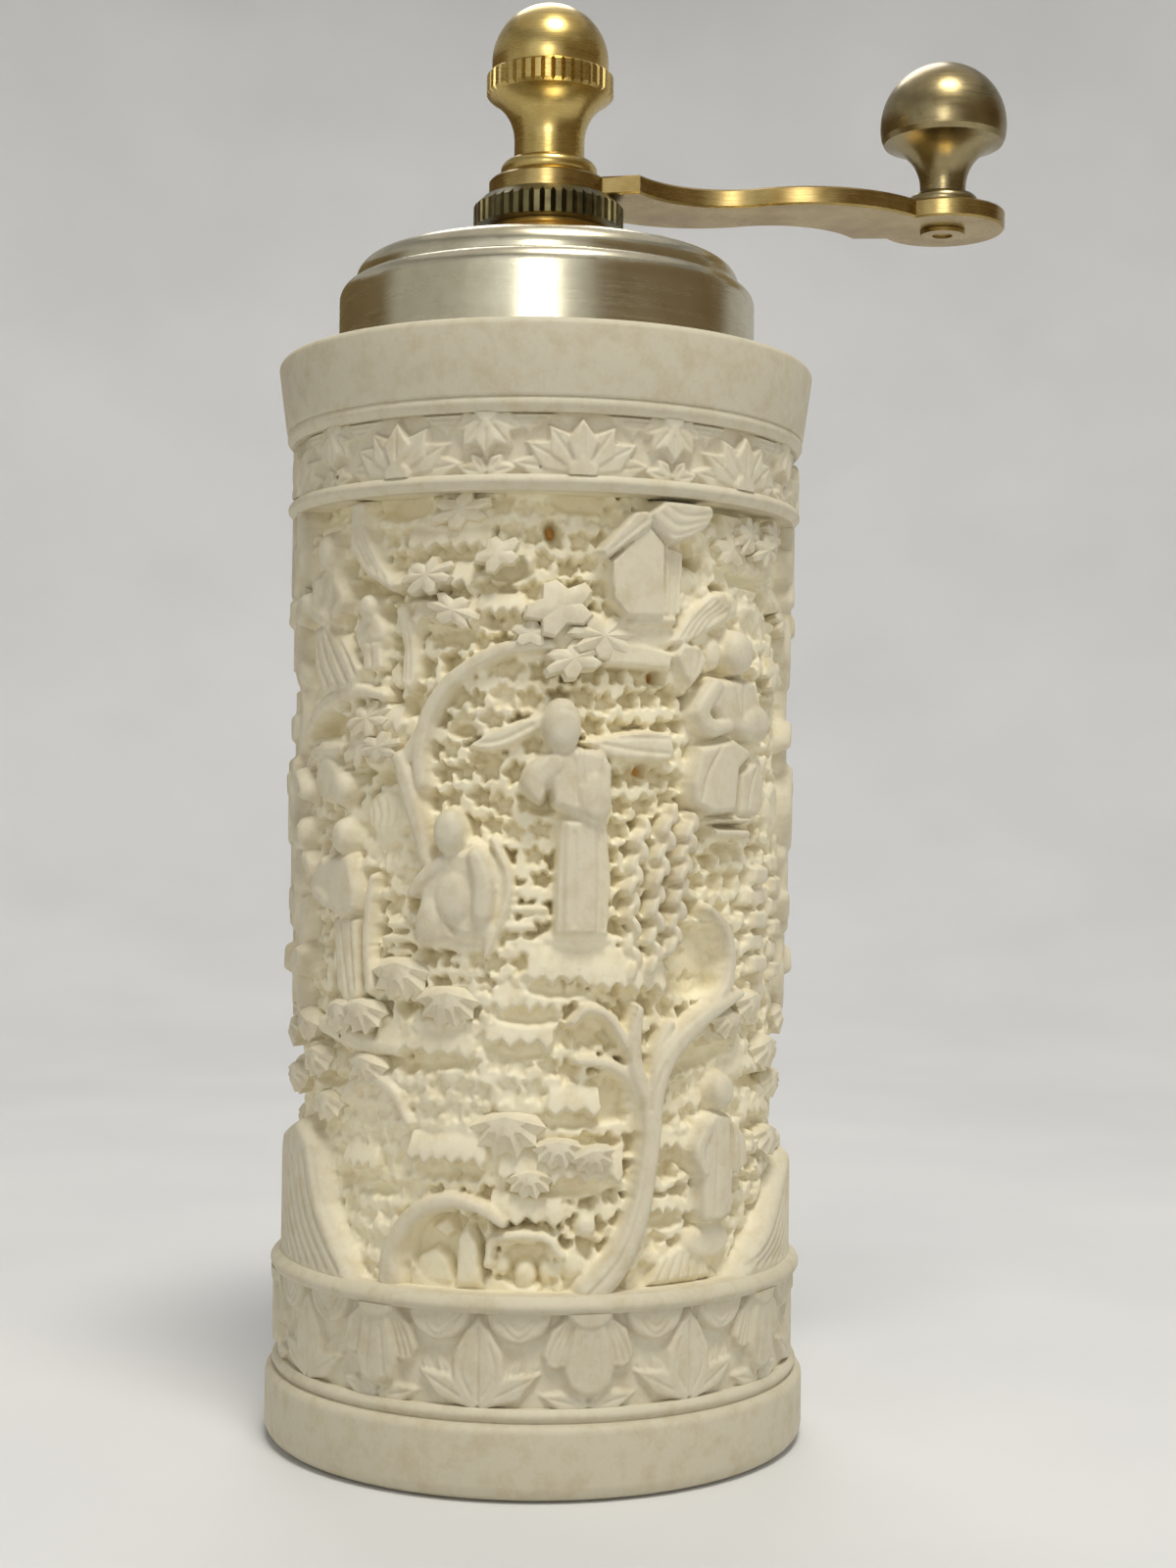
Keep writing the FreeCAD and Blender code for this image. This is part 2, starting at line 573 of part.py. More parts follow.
# Lower part of the scene
LOW_TREES = [
    limb((5.0, 16.4, 1.6), (9.0, 22.6, 1.2), (10.4, 30.5, 1.0), (10.7, 33.6, 1.15), (13.8, 38.6, 0.9), (20.8, 42.0, 0.5)),
    limb((10.3, 33.4, 1.0), (8.8, 38.2, 0.75), (9.2, 41.2, 0.5)),
    limb((17.0, 40.6, 0.8), (19.6, 44.4, 0.7), (18.8, 47.9, 0.65), (16.6, 49.6, 0.5)),
    limb((-14.0, 16.4, 1.4), (-13.6, 20.2, 1.1), (-11.6, 23.0, 0.9), (-7.4, 24.6, 0.7), (-3.0, 22.9, 0.5)),
    limb((-20.4, 32.4, 0.5), (-18.6, 33.9, 0.65), (-16.0, 34.4, 0.65), (-13.8, 33.3, 0.6), (-12.2, 31.0, 0.5)),
    [(-30.5, 16.4), (-30.5, 25.0), (-26.8, 30.4), (-23.6, 28.4), (-21.6, 23.0), (-16.4, 16.4)],
    [(19.4, 16.4), (25.4, 21.4), (29.0, 25.0), (33.0, 25.4), (35.0, 16.4)],
    [(-19.4, 39.0), (-16.4, 38.0), (-13.4, 37.6), (-9.4, 35.2), (-6.2, 37.4), (-6.0, 41.6), (-9.2, 42.2), (-10.4, 44.6),
     (-13.2, 45.4), (-16.0, 44.2), (-16.2, 41.6)],
    [(-13.2, 28.0), (-9.6, 27.0), (-4.4, 26.2), (-1.4, 22.4), (1.8, 24.4), (4.6, 26.2), (7.8, 27.0), (6.0, 29.4), (1.0, 30.4),
     (-2.6, 32.6), (-6.0, 30.6), (-10.6, 30.6)],
    [(14.6, 38.8), (17.2, 37.6), (20.8, 38.2), (23.2, 40.0), (19.0, 40.8)],
    [(-18.8, 26.0), (-16.2, 24.9), (-13.6, 26.2), (-14.6, 28.0), (-17.6, 28.2)],
    [(25.0, 35.6), (27.2, 34.8), (29.6, 36.0), (28.6, 37.8), (25.8, 37.8)],
]
LOW_FIGURES = [
    ([(15.9, 31.0), (17.3, 31.6), (19.7, 31.4), (22.5, 29.2), (22.7, 26.6), (20.1, 25.6), (20.0, 22.4), (15.9, 22.0)],
     [(18.3, 33.6, 1.6)]),
]


UP = FreeCAD.Vector(0, 0, 1)


def raised(outline, discs, low, high, ends, radius):
    """Solids that stand out of the wall to a radius, square to their middle: an outline of the drawing and its discs.

    low and high are heights of the drawing, and ends the heights on the body that they are fitted to.
    """
    reach = [along for along, up in outline] + [along for along, up, size in discs]
    middle = (min(reach) + max(reach)) / 2.0
    across = (dim.carved_radius / DRAWN_RADIUS).value
    rise = ((ends[1] - ends[0]) / (high - low)).value
    start = ((body_bore + dim.ground_radius) / 2.0).value
    out = FreeCAD.Vector(0, start - radius.value - dim.bead_rise.value, 0)

    def place(x, y):
        return FreeCAD.Vector((x - middle) * across, -start, ends[0].value + (y - low) * rise)

    faces = [Part.Face(Part.makePolygon([place(x, y) for x, y in outline + outline[:1]]))]
    for x, y, size in discs:
        faces.append(Part.Face(Part.Wire(Part.makeCircle(size * across, place(x, y), FreeCAD.Vector(0, -1, 0)))))
    wall = Part.makeCylinder(radius.value, collar_bottom.value)
    solids = []
    for face in faces:
        solid = face.extrude(out)
        solid.rotate(FreeCAD.Vector(), UP, dim.scene_turn.value + math.degrees(middle / DRAWN_RADIUS))
        solids += solid.common(wall).Solids
    return solids


def turned(solids, angle):
    """Copies of solids, turned round the Z axis."""
    return [solid.rotated(FreeCAD.Vector(), UP, angle) for solid in solids]


def petals():
    """Petals of both bands: one flower and one leaf each, repeated round the body."""
    bands = (
        (LOTUS, LOTUS_LEAF, LOTUS_MIDDLE, LOTUS_LOW, LOTUS_HIGH, (base_top + 2.0 * dim.bead_rise, lower_band_top),
         dim.lower_band_radius, dim.lotus_count),
        (BLOSSOM, BUD, BLOSSOM_MIDDLE, BLOSSOM_LOW, BLOSSOM_HIGH, (upper_band_bottom, upper_band_top),
         dim.upper_band_radius, dim.blossom_count),
    )
    solids = []
    for flower, leaf, middle, low, high, ends, radius, count in bands:
        places = round(count.value)
        half_step = math.pi * DRAWN_RADIUS / places
        unit = raised([(x + middle, y) for x, y in flower], [], low, high, ends, radius)
        unit += raised([(x + middle + half_step, y) for x, y in leaf], [], low, high, ends, radius)
        for k in range(places):
            solids += turned(unit, 360.0 * k / places)
    return solids


def scene_reliefs():
    """The carved scene: each part of it on the front, and once more on the back."""
    tiers = (
        (HIGH_TREES, HIGH_FIGURES, dim.high_back_turn),
        (MIDDLE_TREES, MIDDLE_FIGURES, dim.middle_back_turn),
        (LOW_TREES, LOW_FIGURES, dim.low_back_turn),
    )
    solids = []
    for trees, figures, back in tiers:
        part = []
        for outline in trees:
            part += raised(outline, [], DRAWN_LOW, DRAWN_HIGH, (scene_bottom, scene_top), dim.tree_radius)
        for outline, discs in figures:
            part += raised(outline, discs, DRAWN_LOW, DRAWN_HIGH, (scene_bottom, scene_top), dim.carved_radius)
        solids += part + turned(part, back.value)
    return solids


def make_body():
    """Hollow cast-resin body: foot, base band, petal bands, carved scene, collar and stepped bore."""
    edge = dim.base_edge_radius
    rim = dim.collar_edge_radius
    body = turned_piece("plain_body", [
        (dim.foot_recess_radius, ZERO),
        (dim.base_radius - edge, ZERO), Round(edge),
        (dim.base_radius, edge),
        (dim.base_radius, base_top - dim.bead_rise), Round(dim.bead_rise),
        (dim.base_radius - dim.bead_rise, base_top),
        (dim.lower_ground_radius, base_top),
        (dim.lower_ground_radius, lower_band_top),
        *bead(dim.lower_band_radius, lower_band_top, scene_bottom),
        (dim.ground_radius, scene_bottom),
        (dim.ground_radius, scene_top),
        *bead(dim.upper_band_radius, scene_top, upper_band_bottom),
        (dim.upper_ground_radius, upper_band_bottom),
        (dim.upper_ground_radius, upper_band_top),
        *bead(dim.upper_band_radius, upper_band_top, collar_bottom),
        (dim.collar_bottom_radius, collar_bottom),
        (dim.collar_top_radius, dim.body_height - rim), Round(rim),
        (dim.collar_top_radius - rim, dim.body_height),
        (mouth_radius, dim.body_height),
        (mouth_radius, cap_seat),
        (body_bore, cap_seat),
        (body_bore, dim.funnel_top),
        (dim.liner_inner_radius, dim.funnel_top),
        (dim.throat_radius, dim.funnel_bottom),
        (dim.throat_radius, bridge_top),
        (burr_bore, bridge_top),
        (burr_bore, dim.plate_depth),
        (dim.foot_recess_radius, dim.plate_depth),
    ])
    sketch = new_sketch(body, "screw_hole", "XY_Plane", dim.plate_depth)
    add_circle(sketch, dim.screw_radius + dim.fixed_gap, dim.screw_circle_radius)
    hole_depth = dim.screw_length - dim.plate_thickness + dim.screw_tip_room
    repeat(body, [pocket(body, sketch, hole_depth, upwards=True)], dim.screw_count)
    carved = doc.addObject("Part::Feature", "carved_body")
    carved.Shape = body.Shape.multiFuse(petals() + scene_reliefs())
    return carved


def make_liner():
    inner = dim.liner_inner_radius
    return ring("liner_tube", inner, inner + dim.liner_wall, dim.funnel_top, cap_seat)


def make_cap():
    """Spun sheet cap: skirt, round shoulder, small step, and a shallow dome with a flat land."""
    wall = dim.cap_wall
    inside = dim.cap_radius - wall
    shoulder = dim.cap_shoulder_radius
    step_radius = dim.cap_radius - shoulder
    rim = dim.cap_rim_round
    crown_radius = step_radius - rim
    half_span = (crown_radius - dim.cap_land_radius)
    crown = (half_span * half_span + dim.cap_rise * dim.cap_rise) / (2.0 * dim.cap_rise)
    hole = dim.bush_shank_radius + dim.fixed_gap
    return turned_piece("dome_cap", [
        (inside, cap_seat),
        (dim.cap_radius, cap_seat),
        (dim.cap_radius, cap_shoulder), Round(shoulder),
        (step_radius, cap_step),
        (step_radius, cap_rim_low), Round(rim),
        (crown_radius, cap_rim_high), Round(crown),
        (dim.cap_land_radius, cap_top),
        (hole, cap_top),
        (hole, cap_top - wall),
        (dim.cap_land_radius, cap_top - wall), Hollow(crown - wall),
        (crown_radius, cap_rim_high - wall), Hollow(rim - wall),
        (step_radius - wall, cap_rim_low),
        (step_radius - wall, cap_step - wall),
        (step_radius, cap_step - wall), Hollow(shoulder - wall),
        (inside, cap_shoulder),
    ])


def make_cap_bush():
    """Brass bush that carries the spindle in the cap."""
    shank = dim.bush_shank_radius
    low = cap_top - dim.cap_wall - dim.bush_nut_height
    return turned_piece("cap_bush", [
        (spindle_bore, low),
        (shank, low),
        (shank, cap_top),
        (dim.bush_collar_radius, cap_top),
        (dim.bush_collar_radius, washer_bottom),
        (spindle_bore, washer_bottom),
    ])


def make_bush_nut():
    low = cap_top - dim.cap_wall - dim.bush_nut_height
    bore = dim.bush_shank_radius + dim.fixed_gap
    return hex_nut("bush_nut", dim.bush_nut_flats, bore, low, dim.bush_nut_height)


def make_thrust_washer():
    high = washer_bottom + dim.thrust_washer_thickness
    return ring("thrust_washer", spindle_bore, dim.thrust_washer_radius, washer_bottom, high)


def make_adjusting_nut():
    """Coin-edged nut that sets the grind."""
    radius = dim.nut_radius
    chamfer_low = nut_top - dim.nut_chamfer
    body = turned_piece("adjusting_nut", [
        (spindle_bore, nut_bottom),
        (radius, nut_bottom),
        (radius, chamfer_low),
        (radius - dim.nut_chamfer, nut_top),
        (spindle_bore, nut_top),
    ])
    knurl(body, radius, dim.nut_groove_depth, dim.nut_groove_width, dim.nut_tooth_count,
          nut_bottom, nut_top)
    return body


def arm_side(turned):
    """One side of the arm, from its notch to the far round end. The other side is this one, half a turn on."""
    length = dim.arm_length
    radius_here, radius_there = dim.arm_hub_radius, dim.arm_end_radius
    if turned:
        radius_here, radius_there = radius_there, radius_here
    notch = (dim.arm_notch_reach, -leg(radius_here, dim.arm_notch_reach))
    point = (dim.arm_point_reach, -dim.arm_point_half)
    middle = (length / 2.0, -dim.arm_mid_half)
    far = (length - dim.arm_notch_reach, -leg(radius_there, dim.arm_notch_reach))
    tip = (length + radius_there, ZERO)

    def half_chord(a, b):
        return root((b[0] - a[0]) * (b[0] - a[0]) + (b[1] - a[1]) * (b[1] - a[1])) / 2.0

    hollow = Hollow(arc_radius(half_chord(point, middle), dim.arm_hollow))
    swell = Round(arc_radius(half_chord(middle, far), dim.arm_swell))
    way = [notch, point, hollow, middle, swell, far, Round(radius_there), tip, Round(radius_there)]
    if not turned:
        return way
    return [item if isinstance(item, Round) else (length - item[0], -item[1]) for item in way]


def make_arm():
    """Plate crank arm that bends both ways, with a round end on the spindle and one under the knob."""
    body = new_body("crank_arm")
    sketch = new_sketch(body, "arm_outline", "XY_Plane", arm_bottom)
    add_loop(sketch, arm_side(False) + arm_side(True))
    plate = pad(body, sketch, dim.arm_thickness)
    edges = [f"Face{i}" for i, f in enumerate(plate.Shape.Faces, start=1)
             if abs(f.normalAt(0, 0).z) > 0.9]
    eased = body.newObject("PartDesign::Chamfer", "arm_eased")
    eased.Base = (plate, edges)
    eased.setExpression("Size", dim.arm_edge.text)
    doc.recompute()
    holes = new_sketch(body, "arm_holes", "XY_Plane", arm_bottom)
    double_d(holes, spindle_bore, dim.spindle_flats + 2.0 * dim.running_gap)
    add_circle(holes, dim.rivet_radius + dim.running_gap, dim.arm_length)
    pocket(body, holes, dim.arm_thickness, upwards=True)
    return body


def make_finial():
    """Acorn finial: a nut with a bead foot, a trumpet neck, a knurled ring and a dome."""
    low = arm_top
    foot = dim.finial_foot_height
    neck = dim.finial_neck_radius
    neck_low = low + foot
    flare_low = neck_low + dim.finial_neck_height
    ring_low = flare_low + dim.finial_flare_height
    ring_high = ring_low + dim.finial_ring_height
    ease = dim.finial_ring_ease
    ring_radius = dim.finial_ring_radius
    flare_end = ring_radius - ease
    out = flare_end - neck
    rise = dim.finial_flare_height
    flare = (out * out + rise * rise) / (2.0 * out)
    dome = arc_radius(dim.finial_dome_radius, dim.finial_dome_height)
    bore_end = low + dim.finial_bore_depth
    foot_edge = dim.finial_foot_radius - dim.finial_foot_bulge
    body = turned_piece("finial_nut", [
        (thread_bore, low),
        (foot_edge, low), Round(arc_radius(foot / 2.0, dim.finial_foot_bulge)),
        (foot_edge, neck_low),
        (neck, neck_low),
        (neck, flare_low), Hollow(flare),
        (flare_end, ring_low),
        (ring_radius, ring_low + ease),
        (ring_radius, ring_high - ease),
        (flare_end, ring_high),
        (dim.finial_dome_radius, ring_high), Round(dome),
        (ZERO, ring_high + dim.finial_dome_height),
        (ZERO, bore_end),
        (thread_bore, bore_end),
    ])
    knurl(body, ring_radius, dim.finial_groove_depth, dim.finial_groove_width,
          dim.finial_tooth_count, ring_low, ring_high)
    return body


def at_knob(body):
    """Moves a piece from the spindle's axis to the knob's axis."""
    body.setExpression("Placement.Base.x", dim.arm_length.text)
    return body


def make_knob():
    """Turned crank knob: bead foot, thin neck, trumpet and round head."""
    low = arm_top + dim.face_gap
    foot = dim.knob_foot_height
    neck = dim.knob_neck_radius
    neck_low = low + foot
    flare_low = neck_low + dim.knob_neck_height
    rim_low = flare_low + dim.knob_flare_height
    flare_end = dim.knob_head_radius - dim.knob_rim_overhang
    out = flare_end - neck
    rise = dim.knob_flare_height
    flare = (out * out + rise * rise) / (2.0 * out)
    rim_high = rim_low + dim.knob_rim_height
    dome = arc_radius(dim.knob_head_radius, dim.knob_dome_height)
    bore = dim.rivet_radius + dim.fixed_gap
    bore_end = low + dim.rivet_reach
    foot_edge = dim.knob_foot_radius - dim.knob_foot_bulge
    return at_knob(turned_piece("crank_knob", [
        (bore, low),
        (foot_edge, low), Round(arc_radius(foot / 2.0, dim.knob_foot_bulge)),
        (foot_edge, neck_low),
        (neck, neck_low),
        (neck, flare_low), Hollow(flare),
        (flare_end, rim_low),
        (dim.knob_head_radius, rim_high), Round(dome),
        (ZERO, rim_high + dim.knob_dome_height),
        (ZERO, bore_end),
        (bore, bore_end),
    ]))


def make_rivet():
    """Rivet pressed into the knob, peened over under the arm."""
    high = arm_bottom - dim.face_gap
    low = high - dim.rivet_head_height
    top = arm_top + dim.face_gap + dim.rivet_reach
    dimple = low + dim.rivet_dimple_depth
    return at_knob(turned_piece("knob_rivet", [
        (ZERO, dimple),
        (dim.rivet_dimple_radius, dimple),
        (dim.rivet_dimple_radius, low),
        (dim.rivet_head_radius, low),
        (dim.rivet_head_radius, high),
        (dim.rivet_radius, high),
        (dim.rivet_radius, top),
        (ZERO, top),
    ]))


def flat_cut(body, name, low, height):
    """Cuts the spindle's two flats over a stretch of its length."""
    half = dim.spindle_flats / 2.0
    far = dim.spindle_radius * 2.0
    sketch = new_sketch(body, name, "XY_Plane", low)
    for side in (1.0, -1.0):
        add_loop(sketch, [(-far, half * side), (far, half * side), (far, far * side), (-far, far * side)])
    pocket(body, sketch, height, upwards=True)


def make_spindle():
    """Spindle with a threaded tail for the lock nut and flats for the rotor and the crank."""
    tail_end = rotor_nut_top - dim.rotor_nut_height - dim.tail_stub
    thread_start = arm_top - dim.crank_thread_recess
    body = turned_piece("spindle", [
        (ZERO, tail_end),
        (dim.tail_radius, tail_end),
        (dim.tail_radius, rotor_bottom),
        (dim.spindle_radius, rotor_bottom),
        (dim.spindle_radius, thread_start),
        (dim.crank_thread_radius, thread_start),
        (dim.crank_thread_radius, spindle_top),
        (ZERO, spindle_top),
    ])
    flat_cut(body, "rotor_flats", rotor_bottom, dim.rotor_height)
    flat_cut(body, "crank_flats", nut_bottom, thread_start - nut_bottom)
    return body


def tooth_groove(body, name, low, radius, turn_degrees, inwards):
    """One end of a tooth groove: a triangle that points into the metal from a cone's surface."""
    sketch = new_sketch(body, name, "XY_Plane", low)
    depth = dim.burr_tooth_depth
    tip, mouth = (radius - depth, radius + depth) if inwards else (radius + depth, radius - depth)
    add_loop(sketch, [(tip, ZERO), (mouth, -depth * 1.2), (mouth, depth * 1.2)])
    if turn_degrees is not None:
        sketch.setExpression("AttachmentOffset.Rotation.Angle", turn_degrees.text)
        doc.recompute()
    return sketch


def cut_teeth(body, low, low_radius, high, high_radius, count, twist=None, inwards=True):
    """Tooth grooves along a cone, from one height to another."""
    start = tooth_groove(body, body.Name + "_groove_low", low, low_radius, None, inwards)
    end = tooth_groove(body, body.Name + "_groove_high", high, high_radius, twist, inwards)
    before = body.Shape.Volume
    groove = body.newObject("PartDesign::SubtractiveLoft", body.Name + "_groove")
    groove.Profile = start
    groove.Sections = [end]
    groove.Ruled = True
    doc.recompute()
    if not groove.Shape.Volume < before:
        raise RuntimeError(f"{groove.Name} cuts nothing")
    repeat(body, [groove], count)


def make_rotor():
    """Turning burr: a toothed cone on the spindle's flats."""
    body = turned_piece("rotor_burr", [
        (ZERO, rotor_bottom),
        (dim.rotor_bottom_radius, rotor_bottom),
        (dim.rotor_top_radius, rotor_top),
        (ZERO, rotor_top),
    ])
    cut_teeth(body, rotor_bottom, dim.rotor_bottom_radius, rotor_top, dim.rotor_top_radius,
              dim.rotor_tooth_count, twist=dim.rotor_twist)
    hole = new_sketch(body, "rotor_hole", "XY_Plane", rotor_bottom)
    double_d(hole, dim.spindle_radius + dim.fixed_gap, dim.spindle_flats + 2.0 * dim.fixed_gap)
    pocket(body, hole, dim.rotor_height, upwards=True)
    return body


def make_rotor_washer():
    bore = dim.tail_radius + dim.fixed_gap
    return ring("rotor_washer", bore, dim.rotor_washer_radius, rotor_nut_top, rotor_bottom)


def make_rotor_nut():
    low = rotor_nut_top - dim.rotor_nut_height
    bore = dim.tail_radius + dim.fixed_gap
    return hex_nut("rotor_nut", dim.rotor_nut_flats, bore, low, dim.rotor_nut_height)


def make_stator():
    """Fixed burr: a ring with a funnel mouth above a toothed cone."""
    low = dim.plate_depth
    waist = low + dim.burr_waist_height
    body = turned_piece("stator_burr", [
        (dim.burr_foot_radius, low),
        (dim.burr_radius, low),
        (dim.burr_radius, bridge_bottom),
        (dim.burr_mouth_radius, bridge_bottom),
        (dim.burr_waist_radius, waist),
    ])
    cut_teeth(body, low, dim.burr_foot_radius, waist, dim.burr_waist_radius,
              dim.burr_tooth_count, inwards=False)
    return body


def make_plate():
    """Ring that holds the fixed burr up, with countersunk holes."""
    low = dim.plate_depth - dim.plate_thickness
    outer = dim.foot_recess_radius - dim.cap_gap
    body = ring("retaining_plate", dim.plate_inner_radius, outer, low, dim.plate_depth)
    centre = dim.screw_circle_radius
    sketch = new_sketch(body, "countersink", "XZ_Plane")
    top = dim.plate_depth
    radius = dim.screw_radius + dim.fixed_gap
    head = dim.screw_head_radius + dim.fixed_gap
    add_loop(sketch, [(centre, low), (centre + head, low), (centre + radius, low + screw_head_height),
                      (centre + radius, top), (centre, top)])
    cut = body.newObject("PartDesign::Groove", "countersink_cut")
    cut.Profile = sketch
    cut.ReferenceAxis = (sketch, ["Edge5"])
    cut.Angle = 360
    doc.recompute()
    repeat(body, [cut], dim.screw_count)
    return body


def make_screws():
    """Countersunk screws with a driver slot, as one group."""
    low = dim.plate_depth - dim.plate_thickness
    high = low + dim.screw_length
    centre = dim.screw_circle_radius
    body = new_body("plate_screws")
    sketch = new_sketch(body, "screw_outline", "XZ_Plane")
    add_loop(sketch, [(centre, low), (centre + dim.screw_head_radius, low),
                      (centre + dim.screw_radius, low + screw_head_height),
                      (centre + dim.screw_radius, high - dim.screw_radius), (centre, high)])
    shank = body.newObject("PartDesign::Revolution", "screw_turned")
    shank.Profile = sketch
    shank.ReferenceAxis = (sketch, ["Edge5"])
    shank.Angle = 360
    doc.recompute()
    slot = new_sketch(body, "screw_slot", "XY_Plane", low)
    half = dim.screw_slot_width / 2.0
    reach = dim.screw_head_radius * 1.2
    add_loop(slot, [(centre - reach, -half), (centre + reach, -half),
                    (centre + reach, half), (centre - reach, half)])
    repeat(body, [shank, pocket(body, slot, dim.screw_slot_depth, upwards=True)], dim.screw_count)
    return body


def make_bridge():
    """Spider that carries the spindle above the burrs: a rim, a hub and arms."""
    body = new_body("spindle_bridge")
    thickness = dim.bridge_thickness
    rim = new_sketch(body, "bridge_rim", "XY_Plane", bridge_bottom)
    inner = dim.burr_radius - dim.bridge_rim_width
    add_circle(rim, dim.burr_radius)
    add_circle(rim, inner)
    pad(body, rim, thickness)
    arm = new_sketch(body, "bridge_arm", "XY_Plane", bridge_bottom)
    half = dim.bridge_arm_width / 2.0
    reach = inner + dim.bridge_rim_width / 2.0
    add_loop(arm, [(ZERO, -half), (reach, -half), (reach, half), (ZERO, half)])
    repeat(body, [pad(body, arm, thickness)], dim.bridge_arm_count)
    hub = new_sketch(body, "bridge_hub", "XY_Plane", bridge_bottom)
    add_circle(hub, dim.bridge_hub_radius)
    pad(body, hub, thickness)
    hole = new_sketch(body, "bridge_hole", "XY_Plane", bridge_bottom)
    add_circle(hole, spindle_bore + dim.bridge_bush_wall + dim.fixed_gap)
    pocket(body, hole, thickness, upwards=True)
    return body


def make_bridge_bush():
    """Flanged bush in the bridge's hub."""
    shank = spindle_bore + dim.bridge_bush_wall
    return turned_piece("bridge_bush", [
        (spindle_bore, spring_top),
        (dim.bridge_bush_flange_radius, spring_top),
        (dim.bridge_bush_flange_radius, bridge_bottom),
        (shank, bridge_bottom),
        (shank, bridge_top),
        (spindle_bore, bridge_top),
    ])


def make_cup():
    """Cup washer that carries the spring and rides on the rotor's top."""
    rim = dim.cup_radius - dim.cup_thickness
    return turned_piece("spring_cup", [
        (spindle_bore, cup_bottom),
        (dim.cup_radius, cup_bottom),
        (dim.cup_radius, spring_bottom + dim.cup_rim_height),
        (rim + dim.cup_thickness / 4.0, spring_bottom + dim.cup_rim_height),
        (rim + dim.cup_thickness / 4.0, spring_bottom),
        (spindle_bore, spring_bottom),
    ])


def make_spring():
    """Coil spring that pushes the rotor down, away from the fixed burr."""
    body = new_body("rotor_spring")
    wire = dim.spring_wire / 2.0
    low = spring_bottom + wire + dim.face_gap
    high = spring_top - wire - dim.face_gap
    sketch = new_sketch(body, "spring_wire_end", "XZ_Plane")
    add_circle(sketch, wire, dim.spring_radius, low)
    coil = body.newObject("PartDesign::AdditiveHelix", "spring_coil")
    coil.Profile = sketch
    coil.ReferenceAxis = (sketch, ["V_Axis"])
    coil.Mode = "height-turns-growth"
    coil.Growth = 0
    coil.setExpression("Height", (high - low).text)
    coil.setExpression("Turns", dim.spring_turns.text)
    doc.recompute()
    return body


PIECES = [
    make_body(), make_liner(), make_bridge(), make_bridge_bush(), make_stator(), make_plate(), make_screws(),
    make_cap(), make_cap_bush(), make_bush_nut(), make_thrust_washer(),
    make_adjusting_nut(), make_arm(), make_finial(), make_knob(), make_rivet(),
    make_spindle(), make_rotor(), make_rotor_washer(), make_rotor_nut(), make_cup(), make_spring(),
]

doc.recompute()
failed = [o.Name for o in doc.Objects if "Invalid" in o.State or "Error" in o.State]
failed += [p.Label for p in PIECES if p.Shape.isNull() or not p.Shape.isValid() or not p.Shape.Solids]
if failed:
    raise RuntimeError(f"these did not build: {failed}")

os.makedirs("parts", exist_ok=True)
for piece in PIECES:
    piece.Shape.exportStep(f"parts/{piece.Label}.step")
    box = piece.Shape.BoundBox
    print(f"{piece.Label}: {len(piece.Shape.Solids)} solid(s), {piece.Shape.Volume:.1f} mm3, "
          f"z {box.ZMin:.2f} to {box.ZMax:.2f}, radius {max(box.XMax, box.YMax):.2f}")
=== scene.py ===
"""Crank pepper mill, dressed for rendering: a carved cast-resin body, a plated cap and a brass crank.

Sizes are written in millimetres and become metres when a mesh is made. +Z is up along the spindle, and +X
points from the spindle to the crank knob. Places on the carved wall are (u, z): u is the distance round the
wall from its front, to the right, and z is the height.
"""
import json
import math

import bpy
import numpy as np
from mathutils import Matrix, Vector


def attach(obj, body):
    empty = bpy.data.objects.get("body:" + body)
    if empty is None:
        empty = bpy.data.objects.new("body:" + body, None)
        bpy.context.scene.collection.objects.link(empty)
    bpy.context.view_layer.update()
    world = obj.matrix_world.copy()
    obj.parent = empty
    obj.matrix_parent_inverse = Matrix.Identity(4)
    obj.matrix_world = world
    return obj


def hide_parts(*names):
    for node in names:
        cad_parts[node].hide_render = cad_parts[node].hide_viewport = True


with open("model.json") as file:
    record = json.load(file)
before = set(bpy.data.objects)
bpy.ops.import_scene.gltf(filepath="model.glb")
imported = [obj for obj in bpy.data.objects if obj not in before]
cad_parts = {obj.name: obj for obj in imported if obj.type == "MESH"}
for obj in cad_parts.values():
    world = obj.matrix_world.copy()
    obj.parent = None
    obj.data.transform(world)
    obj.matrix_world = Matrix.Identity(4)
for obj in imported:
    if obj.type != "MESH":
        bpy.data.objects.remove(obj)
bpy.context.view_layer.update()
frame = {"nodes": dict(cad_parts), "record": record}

MM = 0.001

# Heights and radii shared with the part's source
BASE_RADIUS = 25.2
BASE_EDGE = 1.5
BASE_TOP = 6.8
LOWER_BAND_LOW = BASE_TOP + 0.9
LOWER_BAND_RADIUS = 24.6
LOWER_BAND_TOP = 15.7
SCENE_LOW = 17.1
SCENE_HIGH = 85.1
UPPER_BAND_RADIUS = 23.9
UPPER_BAND_LOW = 86.4
UPPER_BAND_TOP = 91.7
COLLAR_LOW = 93.0
BODY_TOP = 99.6
CARVED_RADIUS = 23.6
BORE_RADIUS = 17.45

# The carved wall's inner face, and the radius that heights of its relief are counted from
WALL_BACK = 17.5
WALL_FLOOR = 19.7

# The direction that the photograph looks at, and the facets of a turned ring
FRONT = math.radians(-101.5)
TURN_STEPS = 224


# Nodes and materials

def linear(code):
    """An sRGB hex colour as linear red, green, blue and alpha."""
    parts = [int(code[i:i + 2], 16) / 255 for i in (1, 3, 5)]
    return tuple(p / 12.92 if p <= 0.04045 else ((p + 0.055) / 1.055) ** 2.4 for p in parts) + (1.0,)


def fill(tree, node, sockets):
    """Set or link a node's inputs by name or number."""
    for name, value in sockets.items():
        if isinstance(value, bpy.types.NodeSocket):
            tree.links.new(value, node.inputs[name])
        else:
            node.inputs[name].default_value = value


